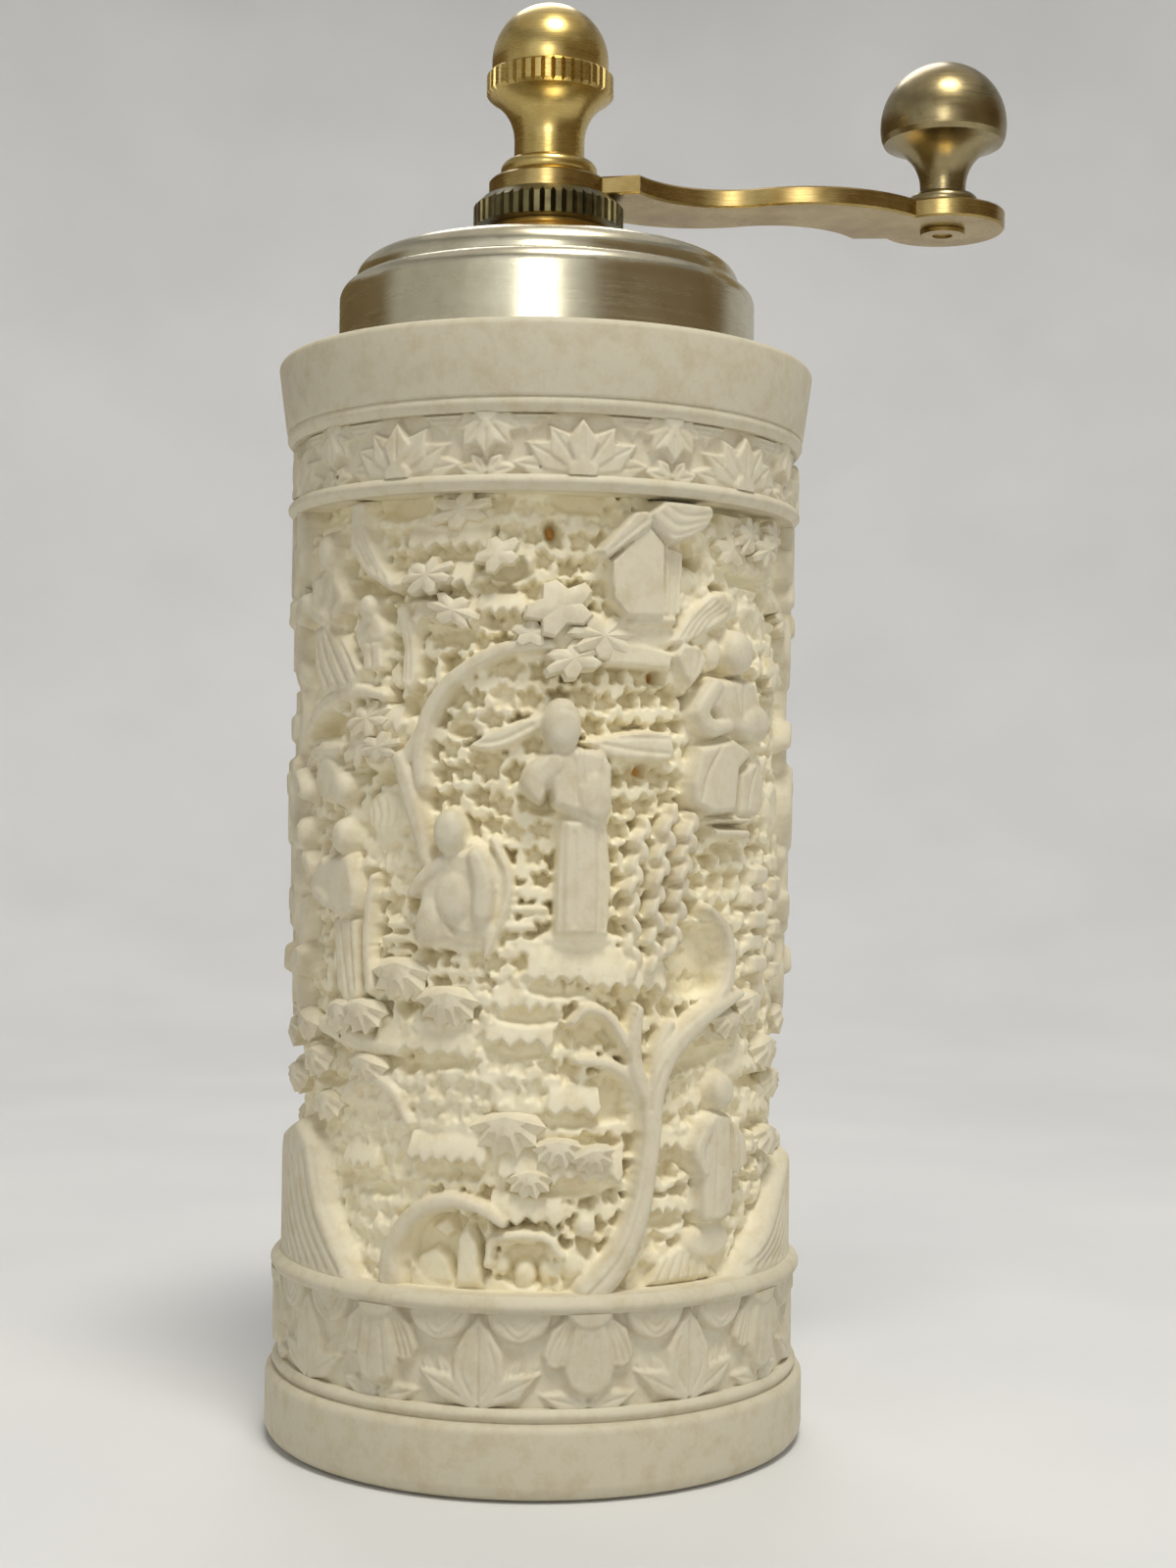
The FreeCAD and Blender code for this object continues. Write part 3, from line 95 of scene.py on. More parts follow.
def add(tree, kind, sockets=None, stops=(), **settings):
    """Add a node with its settings, its inputs and, for a ramp, its stops of (position, hex colour)."""
    made = tree.nodes.new(kind)
    for name, value in settings.items():
        setattr(made, name, value)
    if stops:
        band = made.color_ramp.elements
        while len(band) < len(stops):
            band.new(0.5)
        for element, (position, code) in zip(band, stops):
            element.position = position
            element.color = linear(code)
    fill(tree, made, sockets or {})
    return made


def new_material(name):
    """A material with its tree, its shader and the piece's own coordinates in millimetres."""
    made = bpy.data.materials.new(name)
    made.use_nodes = True
    tree = made.node_tree
    shader = tree.nodes["Principled BSDF"]
    place = add(tree, "ShaderNodeTexCoord")
    millimetres = add(tree, "ShaderNodeVectorMath", {0: place.outputs["Object"], 1: (1 / MM, 1 / MM, 1 / MM)},
                      operation="MULTIPLY")
    return made, tree, shader, millimetres.outputs["Vector"]


def cast_resin():
    """Cast polyester resin, matt from the mould: grey-cream faces, amber where pierced, and hollows painted
    brighter and warmer by depth as painted light glowing through the resin.
    """
    made, tree, shader, place = new_material("cast_resin_painted_hollow_glow")
    cloud_size = 9.0
    grime_size = 2.2
    speck_gap = 7.5
    grain_size = 0.35
    deepest = 17.4
    outermost = 25.4
    flat = add(tree, "ShaderNodeVectorMath", {0: place, 1: (1, 1, 0)}, operation="MULTIPLY")
    radius = add(tree, "ShaderNodeVectorMath", {0: flat.outputs["Vector"]}, operation="LENGTH")
    cloud = add(tree, "ShaderNodeTexNoise",
                {"Vector": place, "Scale": 1 / cloud_size, "Detail": 4, "Roughness": 0.6})
    wander = add(tree, "ShaderNodeMath", {0: cloud.outputs["Fac"], 1: 0.8, 2: -0.4}, operation="MULTIPLY_ADD")
    depth = add(tree, "ShaderNodeMath", {0: radius.outputs["Value"], 1: wander.outputs["Value"]},
                operation="ADD")
    share = add(tree, "ShaderNodeMapRange",
                {"Value": depth.outputs["Value"], "From Min": deepest, "From Max": outermost})
    # Painted light by depth: hollow floors get a brighter, warmer cream than the greyer outer faces, standing
    # in for light glowing through the resin; the amber at the very bottom is the amber liner's colour where
    # pierced
    colour = add(tree, "ShaderNodeValToRGB", {"Fac": share.outputs["Result"]}, [
        (0.00, "#C98A34"), (0.24, "#D9A24A"), (0.31, "#E9DDB8"), (0.46, "#F3EACB"), (0.58, "#EBE2C6"),
        (0.70, "#D9D0B8"), (0.82, "#D3CBB4"), (0.92, "#CBC3AC"), (1.00, "#CBC3AC")])
    grime = add(tree, "ShaderNodeTexNoise",
                {"Vector": place, "Scale": 1 / grime_size, "Detail": 6, "Roughness": 0.7})
    tint = add(tree, "ShaderNodeValToRGB", {"Fac": grime.outputs["Fac"]},
               [(0.30, "#E4D8BE"), (0.55, "#FFFFFF"), (0.75, "#F4EFE2")])
    stained = add(tree, "ShaderNodeMixRGB", {"Fac": 0.55, "Color1": colour.outputs["Color"],
                                             "Color2": tint.outputs["Color"]}, blend_type="MULTIPLY")
    speck = add(tree, "ShaderNodeTexVoronoi", {"Vector": place, "Scale": 1 / speck_gap})
    spot = add(tree, "ShaderNodeValToRGB", {"Fac": speck.outputs["Distance"]},
               [(0.020, "#77694F"), (0.034, "#FFFFFF")])
    specked = add(tree, "ShaderNodeMixRGB", {"Fac": 0.8, "Color1": stained.outputs["Color"],
                                             "Color2": spot.outputs["Color"]}, blend_type="MULTIPLY")
    grain = add(tree, "ShaderNodeTexNoise", {"Vector": place, "Scale": 1 / grain_size, "Detail": 3})
    gloss = add(tree, "ShaderNodeMapRange", {"Value": grain.outputs["Fac"], "To Min": 0.48, "To Max": 0.68})
    bump = add(tree, "ShaderNodeBump", {"Height": grain.outputs["Fac"], "Strength": 0.12, "Distance": 0.0001})
    fill(tree, shader, {
        "Base Color": specked.outputs["Color"], "Roughness": gloss.outputs["Result"],
        "Normal": bump.outputs["Normal"], "IOR": 1.5, "Specular IOR Level": 0.4, "Subsurface Weight": 0.06,
        "Subsurface Radius": (1.0, 0.6, 0.3), "Subsurface Scale": 0.0012})
    return made


def worked_metal(name, clean, worn, roughness, ring, bump, blotch=6.0):
    """Turned or spun metal: tones in blotches and fine rings round the axis, both given in millimetres."""
    made, tree, shader, place = new_material(name)
    tone = add(tree, "ShaderNodeTexNoise",
               {"Vector": place, "Scale": 1 / blotch, "Detail": 5, "Roughness": 0.65})
    colour = add(tree, "ShaderNodeValToRGB", {"Fac": tone.outputs["Fac"]}, [(0.32, worn), (0.62, clean)])
    stretch = add(tree, "ShaderNodeVectorMath", {0: place, 1: (0.12, 0.12, 1 / ring)}, operation="MULTIPLY")
    rings = add(tree, "ShaderNodeTexNoise", {"Vector": stretch.outputs["Vector"], "Scale": 1.0, "Detail": 3})
    gloss = add(tree, "ShaderNodeMapRange", {"Value": rings.outputs["Fac"], "From Min": 0.3, "From Max": 0.7,
                                             "To Min": roughness * 0.88, "To Max": roughness * 1.15})
    relief = add(tree, "ShaderNodeBump", {"Height": rings.outputs["Fac"],
                                          "Strength": bump, "Distance": 0.00005})
    fill(tree, shader, {"Base Color": colour.outputs["Color"], "Metallic": 1.0,
                        "Roughness": gloss.outputs["Result"], "Normal": relief.outputs["Normal"]})
    return made


def amber_tube():
    """Moulded amber acrylic: a smooth, warm brown tube with a slight streak."""
    made, tree, shader, place = new_material("amber_acrylic")
    streak = add(tree, "ShaderNodeVectorMath", {0: place, 1: (0.3, 0.3, 0.04)}, operation="MULTIPLY")
    tone = add(tree, "ShaderNodeTexNoise", {"Vector": streak.outputs["Vector"], "Scale": 1.0, "Detail": 2})
    colour = add(tree, "ShaderNodeValToRGB", {"Fac": tone.outputs["Fac"]},
                 [(0.3, "#8E5218"), (0.7, "#BC7A2C")])
    fill(tree, shader, {"Base Color": colour.outputs["Color"], "Roughness": 0.25, "IOR": 1.49})
    return made


resin = cast_resin()
FINISHES = {
    # Champagne nickel on spun sheet: soft broad highlights with faint rings
    "satin_plate": worked_metal("champagne_nickel_plate", "#D3CDB6", "#B9AF92", 0.25, 0.4, 0.08, 9.0),
    # Turned brass, unpolished: warm yellow with tool rings
    "turned_brass": worked_metal("turned_brass", "#D9B566", "#B08B45", 0.30, 0.25, 0.15),
    # Lacquered brass: bright yellow, glossy, with faint turning rings
    "polished_brass": worked_metal("lacquered_brass", "#C8B172", "#AF9351", 0.28, 0.18, 0.12),
    # Tarnished brass: olive brown, dull, brighter where the teeth are rubbed
    "aged_brass": worked_metal("tarnished_brass", "#756C4B", "#4B4530", 0.36, 0.3, 0.12, 3.0),
    # Gold-coloured plating on brass: pale warm gold with rings from the lathe; its colour is darkened as
    # painted shade for the crank arm's shaded side face
    "gold_plate": worked_metal("gold_plate_darkened_painted_shade", "#B19B65", "#907541", 0.27, 0.2, 0.12),
    # Bright zinc plating on steel: cool grey and slightly mottled
    "zinc_steel": worked_metal("zinc_plated_steel", "#B9BCBF", "#9FA3A6", 0.32, 0.3, 0.08),
    # Hardened burr steel: dark grey with grinding marks
    "burr_steel": worked_metal("hardened_steel", "#77787A", "#5C5D5F", 0.38, 0.2, 0.15),
    # Drawn spring wire: plain bright steel
    "spring_steel": worked_metal("spring_wire_steel", "#9A9B9D", "#808184", 0.28, 0.15, 0.05),
    # Moulded acrylic: warm brown, smooth and glossy
    "amber_liner": amber_tube(),
}

# The knob's plating is thinner than the arm's, so it is paler
knob_plate = worked_metal("champagne_gold_plate", "#A39570", "#80714E", 0.30, 0.2, 0.12)


# Meshes

def new_piece(name, points, faces, material, crease=40):
    """A mesh object at the origin from points in millimetres, smooth but for edges sharper than crease."""
    mesh = bpy.data.meshes.new(name)
    mesh.from_pydata(np.asarray(points, float) * MM, [], faces)
    mesh.polygons.foreach_set("use_smooth", np.ones(len(mesh.polygons), bool))
    mesh.update()
    mesh.set_sharp_from_angle(angle=math.radians(crease))
    mesh.materials.append(material)
    made = bpy.data.objects.new(name, mesh)
    bpy.context.collection.objects.link(made)
    return made


def on_wall(u, z, radius, reference=CARVED_RADIUS):
    """The point at distance u round the wall, height z and a radius."""
    angle = FRONT + np.asarray(u) / reference
    return np.stack(np.broadcast_arrays(radius * np.cos(angle), radius * np.sin(angle), z), axis=-1)


def bow(start, end, rise, count=8):
    """Points of a half-round rim from start to end that stands proud by rise."""
    return [(start[0] + (end[0] - start[0]) * k / count + rise * math.sin(math.pi * k / count),
             start[1] + (end[1] - start[1]) * k / count) for k in range(count + 1)]


def quarter(centre, radius, first, count=6):
    """Points of a quarter circle, from first degrees anticlockwise."""
    return [(centre[0] + radius * math.cos(math.radians(first + 90 * k / count)),
             centre[1] + radius * math.sin(math.radians(first + 90 * k / count))) for k in range(count + 1)]


def turned(name, outline):
    """A closed resin ring turned from an outline of (radius, height) that has the material on its left."""
    angles = np.linspace(0, 2 * math.pi, TURN_STEPS, endpoint=False)
    rings = [np.stack([r * np.cos(angles), r * np.sin(angles), np.full(TURN_STEPS, z)], axis=1)
             for r, z in outline]
    grid = np.arange(len(outline) * TURN_STEPS).reshape(len(outline), TURN_STEPS)
    above = np.roll(grid, -1, 0)
    quads = np.stack([grid, np.roll(grid, -1, 1), np.roll(above, -1, 1), above], axis=-1)
    return new_piece(name, np.concatenate(rings), quads.reshape(-1, 4).tolist(), resin, crease=30)


# Plain turned parts of the body

def make_lower_body():
    """Foot, base band, the rim above the petals, and the throat over the burr."""
    band_seat = 22.0
    foot_radius, foot_recess = 21.0, 3.6
    edge, top_edge, bead = 24.3, 0.8, 0.35
    burr_radius = 15.02
    throat_radius, throat_low, throat_high = 13.4, 19.0, 20.5
    funnel_radius, funnel_top = 16.8, 26.0
    return turned("base_and_foot", [
        (foot_radius, 0.0), *quarter((BASE_RADIUS - BASE_EDGE, BASE_EDGE), BASE_EDGE, -90),
        *quarter((BASE_RADIUS - top_edge, BASE_TOP - 1.1), top_edge, 0),
        (edge, BASE_TOP - 0.25), *bow((edge, BASE_TOP - 0.2), (edge - 0.1, LOWER_BAND_LOW), bead, 6),
        (band_seat, LOWER_BAND_LOW), (band_seat, LOWER_BAND_TOP),
        *bow((LOWER_BAND_RADIUS, LOWER_BAND_TOP), (LOWER_BAND_RADIUS - 0.5, SCENE_LOW), 0.45),
        (WALL_BACK, SCENE_LOW), (WALL_BACK, funnel_top), (funnel_radius, funnel_top),
        (throat_radius, throat_high), (throat_radius, throat_low), (burr_radius, throat_low),
        (burr_radius, foot_recess), (foot_radius, foot_recess)])


def make_upper_body():
    """Rims beside the upper petals, the plain collar, its mouth and the cap's seat."""
    band_seat = 21.8
    rim = 0.7
    collar_foot, foot_edge = 24.2, 0.25
    mouth_radius, cap_seat = 20.0, 94.2
    return turned("collar", [
        (BORE_RADIUS, SCENE_HIGH),
        *bow((UPPER_BAND_RADIUS - 0.3, SCENE_HIGH), (UPPER_BAND_RADIUS, UPPER_BAND_LOW), 0.45),
        (band_seat, UPPER_BAND_LOW), (band_seat, UPPER_BAND_TOP),
        *bow((UPPER_BAND_RADIUS, UPPER_BAND_TOP), (UPPER_BAND_RADIUS + 0.3, COLLAR_LOW), 0.3),
        (collar_foot, COLLAR_LOW), *quarter((collar_foot, COLLAR_LOW + foot_edge), foot_edge, -90, 3),
        *quarter((BASE_RADIUS - rim, BODY_TOP - rim), rim, 0),
        (mouth_radius, BODY_TOP), (mouth_radius, cap_seat), (BORE_RADIUS, cap_seat)])


# Relief carving; a shape is a function of offsets x and y: the distance from its edge, negative inside

def oval(across, up, turn=0.0):
    """An ellipse from its half width and half height, turned by an angle."""
    c, s = math.cos(turn), math.sin(turn)

    def distance(x, y):
        return (np.hypot((c * x + s * y) / across, (c * y - s * x) / up) - 1) * min(across, up)
    return distance


def bar(start, end, thick, thin):
    """A straight limb with round ends that tapers from thick to thin."""
    dx, dy = end[0] - start[0], end[1] - start[1]
    square = max(dx * dx + dy * dy, 1e-9)

    def distance(x, y):
        along = np.clip(((x - start[0]) * dx + (y - start[1]) * dy) / square, 0, 1)
        return np.hypot(x - start[0] - along * dx, y - start[1] - along * dy) - thick - (thin - thick) * along
    return distance


def plate(corners):
    """A flat plate with straight edges."""
    def distance(x, y):
        near = np.full(np.broadcast(x, y).shape, 1e9)
        inside = np.zeros(near.shape, bool)
        for (ax, ay), (bx, by) in zip(corners, corners[1:] + corners[:1]):
            dx, dy = bx - ax, by - ay
            along = np.clip(((x - ax) * dx + (y - ay) * dy) / (dx * dx + dy * dy), 0, 1)
            near = np.minimum(near, np.hypot(x - ax - along * dx, y - ay - along * dy))
            if abs(dy) > 1e-9:
                inside ^= ((ay > y) != (by > y)) & (x < dx * (y - ay) / dy + ax)
        return np.where(inside, -near, near)
    return distance


def smooth_path(points, per_span=6):
    """More points on a smooth curve through the given ones, with whatever else each point carries."""
    p = np.asarray(points, float)
    p = np.vstack([2 * p[0] - p[1], p, 2 * p[-1] - p[-2]])
    out = []
    for k in range(1, len(p) - 2):
        for t in np.linspace(0, 1, per_span, endpoint=False):
            out.append(0.5 * (2 * p[k] + (p[k + 1] - p[k - 1]) * t
                              + (2 * p[k - 1] - 5 * p[k] + 4 * p[k + 1] - p[k + 2]) * t ** 2
                              + (3 * p[k] - p[k - 1] - 3 * p[k + 1] + p[k + 2]) * t ** 3))
    return out + [p[-2]]


class Relief:
    """Heights on a closed, unrolled wall. Columns go round, rows go up; shift moves what is drawn next."""

    edge_roll = 0.72

    def __init__(self, low, high, left, width, step):
        self.columns = round(width / step)
        self.step = width / self.columns
        self.left = left
        self.u = left + np.arange(self.columns) * self.step
        self.z = np.linspace(low, high, round((high - low) / step) + 1)
        self.h = np.zeros((len(self.z), len(self.u)))
        self.shift = 0.0

    def near(self, u, z, reach):
        """The part of the field within reach of a point, with offsets from that point."""
        u = u + self.shift
        first = math.floor((u - reach - self.left) / self.step)
        index = np.arange(first, first + math.ceil(2 * reach / self.step) + 2)
        rows = np.nonzero(np.abs(self.z - z) <= reach)[0]
        return (np.ix_(rows, index % self.columns), (self.left + index * self.step - u)[None, :],
                (self.z[rows] - z)[:, None])

    def soften(self):
        """Round every edge by about one step, as a mould does."""
        for axis in (0, 1):
            ahead, behind = np.roll(self.h, -1, axis), np.roll(self.h, 1, axis)
            if axis == 0:
                ahead[-1], behind[0] = self.h[-1], self.h[0]
            self.h = (ahead + 2 * self.h + behind) / 4

    def lay(self, u, z, reach, shape, top, edge, foot):
        """Raise a shape to top, rolled over along its edge down to foot, or by edge where foot is None."""
        window, x, y = self.near(u, z, reach)
        depth = -shape(x, y)
        share = np.clip(depth / (self.edge_roll * edge), 0, 1)
        height = top(x, y) if callable(top) else top
        base = height - edge if foot is None else foot
        height = base + (height - base) * np.sqrt(share * (2 - share))
        self.h[window] = np.where(depth > 0, np.maximum(self.h[window], height), self.h[window])

    def cut(self, u, z, reach, shape, depth, edge, floor=None):
        """Lower a shape by depth, or down to a floor, with a sloped edge."""
        window, x, y = self.near(u, z, reach)
        share = np.clip(-shape(x, y) / edge, 0, 1)
        lowered = self.h[window] - depth * share
        if floor is not None:
            lowered = np.where(share > 0,
                               np.minimum(self.h[window], self.h[window] * (1 - share) + floor * share),
                               self.h[window])
        self.h[window] = lowered

    def blob(self, u, z, across, up, top, edge=None, turn=0.0, foot=None):
        """A rounded oval, or a flat-topped one where its edge is narrow."""
        self.lay(u, z, max(across, up) * 1.05, oval(across, up, turn), top, edge or min(across, up), foot)

    def face(self, corners, top, edge, foot=None):
        """A flat plate from corners on the wall."""
        u, z = np.mean(corners, axis=0)
        local = [(a - u, b - z) for a, b in corners]
        self.lay(u, z, max(math.hypot(*c) for c in local) + 0.1, plate(local), top, edge, foot)

    def limb(self, points, top):
        """A rounded limb along points of (u, z, half width)."""
        path = smooth_path(points)
        for a, b in zip(path, path[1:]):
            u, z = (a[0] + b[0]) / 2, (a[1] + b[1]) / 2
            shape = bar((a[0] - u, a[1] - z), (b[0] - u, b[1] - z), a[2], b[2])
            thick = max(a[2], b[2])
            self.lay(u, z, math.hypot(a[0] - u, a[1] - z) + thick + 0.1, shape, top, thick, top - thick)

    def groove(self, points, half, depth):
        """A shallow line cut along points of (u, z); every point is lowered once."""
        path = smooth_path(points, per_span=4)
        u, z = np.mean(path, axis=0)
        bars = [bar((a[0] - u, a[1] - z), (b[0] - u, b[1] - z), half, half) for a, b in zip(path, path[1:])]
        reach = max(math.hypot(p[0] - u, p[1] - z) for p in path) + half

        def nearest(x, y):
            return np.minimum.reduce([b(x, y) for b in bars])
        self.cut(u, z, reach, nearest, depth, half)


def shell(name, field, first, last, floor, back, reference=CARVED_RADIUS, ends=True):
    """A block of wall whose outer face is the columns first to last of a relief; ends closes its sides."""
    index = np.arange(first, last + 1)
    columns = index % field.columns
    u = field.left + index * field.step
    rows, count = len(field.z), len(index)
    front = on_wall(u[None, :], field.z[:, None], floor + field.h[:, columns], reference).reshape(-1, 3)
    behind = [on_wall(u, z, back, reference) for z in (field.z[0], field.z[-1])]
    grid = np.arange(rows * count).reshape(rows, count)
    low = rows * count + np.arange(count)
    high = low + count
    quads = [np.stack([a[:-1], a[1:], b[1:], b[:-1]], axis=1) for a, b in
             [*zip(grid[:-1], grid[1:]), (grid[-1], high), (low, grid[0]), (high, low)]]
    faces = np.concatenate(quads).tolist()
    if ends:
        faces.append([int(low[0]), *grid[:, 0].tolist(), int(high[0])])
        faces.append([int(high[-1]), *grid[::-1, -1].tolist(), int(low[-1])])
    return new_piece(name, np.concatenate([front, *behind]), faces, resin, crease=52)


# Petal bands, each one unit that Geometry Nodes repeat round the body

def new_tree(name, inputs, output):
    """A Geometry Nodes tree, its input sockets from names and kinds, and what those give inside the tree."""
    tree = bpy.data.node_groups.new(name, "GeometryNodeTree")
    sockets = [tree.interface.new_socket(key, in_out="INPUT", socket_type="NodeSocket" + kind)
               for key, kind in inputs.items()]
    tree.interface.new_socket(output, in_out="OUTPUT", socket_type="NodeSocketGeometry")
    return tree, sockets, add(tree, "NodeGroupInput").outputs


def repeat_round(name, unit, count):
    """Copies of a unit set evenly round the axis and joined into one closed ring."""
    join_within = 0.00001
    tree, (units, joint, shape), given = new_tree(
        "repeat_round", {"Units": "Int", "Join within": "Float", "Unit": "Object"}, "Ring")
    unit_mesh = add(tree, "GeometryNodeObjectInfo", {"Object": given["Unit"]})
    spots = add(tree, "GeometryNodeMeshLine", {"Count": given["Units"], "Offset": (0, 0, 0)})
    index = add(tree, "GeometryNodeInputIndex")
    share = add(tree, "ShaderNodeMath", {0: index.outputs["Index"], 1: given["Units"]}, operation="DIVIDE")
    angle = add(tree, "ShaderNodeMath", {0: share.outputs["Value"], 1: 2 * math.pi}, operation="MULTIPLY")
    turn = add(tree, "ShaderNodeCombineXYZ", {"Z": angle.outputs["Value"]})
    rotation = add(tree, "FunctionNodeEulerToRotation", {"Euler": turn.outputs["Vector"]})
    copies = add(tree, "GeometryNodeInstanceOnPoints", {
        "Points": spots.outputs["Mesh"], "Instance": unit_mesh.outputs["Geometry"],
        "Rotation": rotation.outputs["Rotation"]})
    joined = add(tree, "GeometryNodeRealizeInstances", {"Geometry": copies.outputs["Instances"]})
    merged = add(tree, "GeometryNodeMergeByDistance", {"Geometry": joined.outputs["Geometry"],
                                                       "Distance": given["Join within"]})
    painted = add(tree, "GeometryNodeSetMaterial",
                  {"Geometry": merged.outputs["Geometry"], "Material": resin})
    add(tree, "NodeGroupOutput", {"Ring": painted.outputs["Geometry"]})
    return grow(name, tree, [], {units: count, joint: join_within, shape: unit}, unit)


def grow(name, tree, points, values, template):
    """Run a node tree on points and keep the result as a plain mesh piece; the template is used up."""
    seed_mesh = bpy.data.meshes.new(name)
    seed_mesh.from_pydata([p["at"] * MM for p in points], [], [])
    for key, kind in (("turn", "FLOAT_VECTOR"), ("size", "FLOAT")):
        if points:
            column = np.array([p[key] for p in points], float).ravel()
            seed_mesh.attributes.new(key, kind, "POINT").data.foreach_set(
                "vector" if kind == "FLOAT_VECTOR" else "value", column)
    piece = bpy.data.objects.new(name, seed_mesh)
    bpy.context.collection.objects.link(piece)
    modifier = piece.modifiers.new("nodes", "NODES")
    modifier.node_group = tree
    for socket, value in values.items():
        modifier[socket.identifier] = value
    evaluated = piece.evaluated_get(bpy.context.evaluated_depsgraph_get())
    made = bpy.data.meshes.new_from_object(evaluated)
    piece.modifiers.remove(modifier)
    piece.data = made
    made.name = name
    bpy.data.objects.remove(template)
    return piece


def pointed_petal(field, u, z, angle, length, half, top):
    """A pointed petal from its root at (u, z), leaning angle degrees from upright, with a vein."""
    a = math.radians(angle)

    def at(across, along):
        return (u + across * math.cos(a) + along * math.sin(a),
                z + along * math.cos(a) - across * math.sin(a))
    field.face([at(-0.3 * half, 0), at(-half, 0.55 * length), at(0, length), at(half, 0.55 * length),
                at(0.3 * half, 0)], top, 0.4, 0.75)
    field.groove([at(0, 0.3 * length), at(0, 0.6 * length), at(0, 0.9 * length)], 0.12, 0.2)


def lotus_band():
    """Lower band: hanging lotus flowers, and an upright pointed leaf between each two."""
    units, floor, back = 8, 22.6, 22.0
    period = 2 * math.pi * LOWER_BAND_RADIUS / units
    centre = 4.8
    half = period / 2
    field = Relief(LOWER_BAND_LOW, LOWER_BAND_TOP, centre - half, period, 0.12)
    field.h[:] = 0.55
    field.shift = centre
    # Leaves behind: at the foot of the flower, and at both sides of the upright leaf
    for side in (-1, 1):
        field.blob(side * 4.6, 7.7, 2.6, 1.9, 1.05, 0.8, foot=0.55)
        field.groove([(side * 3.0, 8.3), (side * 4.6, 9.2), (side * 6.2, 8.3)], 0.16, 0.2)
        field.face([(half + side * 2.0, 7.7), (half + side * 4.9, 11.9), (half + side * 5.4, 11.2),
                    (half + side * 4.6, 9.2), (half + side * 3.4, 7.7)], 1.25, 0.5, 0.55)
        field.groove([(half + side * 2.8, 7.9), (half + side * 4.0, 9.6), (half + side * 4.9, 11.3)],
                     0.14, 0.28)
        field.face([(half + side * 0.8, 7.7), (half + side * 2.6, 11.0), (half + side * 3.9, 12.3),
                    (half + side * 3.8, 10.6), (half + side * 2.6, 7.7)], 1.3, 0.5, 0.6)
        field.groove([(half + side * 1.7, 7.9), (half + side * 2.8, 10.2), (half + side * 3.5, 11.6)],
                     0.14, 0.25)
        for angle, length in ((76, 4.6), (46, 3.2)):
            pointed_petal(field, 0, LOWER_BAND_LOW, side * angle, length, 0.9, 1.5)
        pointed_petal(field, half, LOWER_BAND_LOW, side * 62, 6.4, 1.2, 1.6)
    # The upright leaf and its veins
    field.face([(half - 1.2, 7.7), (half - 2.5, 9.8), (half - 2.4, 12.0), (half - 1.3, 14.1), (half, 15.7),
                (half + 1.3, 14.1), (half + 2.4, 12.0), (half + 2.5, 9.8), (half + 1.2, 7.7)], 1.6, 0.7, 0.6)
    field.groove([(half, 8.2), (half, 11.0), (half, 14.4)], 0.14, 0.3)
    for side in (-1, 1):
        field.groove([(half + side * 0.5, 8.6), (half + side * 1.5, 10.6), (half + side * 1.0, 13.0)],
                     0.13, 0.2)
        # A round leaf that hangs from the rim, and a side petal of the flower
        field.blob(side * 6.1, 15.8, 2.9, 2.75, 1.75, 0.6, foot=0.9)
        for k in range(2):
            reach = 2.1 - 0.7 * k
            field.groove([(side * 6.1 - reach, 15.6), (side * 6.1, 15.6 - reach),
                          (side * 6.1 + reach, 15.6)], 0.13, 0.18)
        field.face([(side * 0.5, 15.2), (side * 1.3, 12.0), (side * 1.9, 11.2), (side * 2.9, 10.8),
                    (side * 3.8, 11.2), (side * 4.2, 12.2), (side * 3.5, 14.3), (side * 2.0, 15.6)],
                   1.7, 0.55, 0.7)
        for k in range(3):
            field.groove([(side * (1.5 + 0.35 * k), 14.6), (side * (2.0 + 0.55 * k), 13.0),
                          (side * (2.4 + 0.6 * k), 11.5)], 0.14, 0.26)
    # The flower's middle petal and its root
    field.face([(-1.5, 15.3), (-2.0, 13.0), (-2.35, 10.8), (-2.0, 9.5), (-1.1, 8.75), (0, 8.5), (1.1, 8.75),
                (2.0, 9.5), (2.35, 10.8), (2.0, 13.0), (1.5, 15.3)], 2.0, 0.8, 0.9)
    for u in (-0.75, 0.75):
        field.groove([(u * 0.7, 13.8), (u * 1.1, 11.6), (u * 1.25, 9.9)], 0.16, 0.14)
    field.blob(0, 15.9, 2.1, 1.65, 2.15, 0.6, foot=1.5)
    field.h = np.maximum(field.h, 1.0)
    field.soften()
    unit = shell("lotus_unit", field, 0, field.columns, floor, back, LOWER_BAND_RADIUS, ends=False)
    return repeat_round("lotus_band", unit, units)


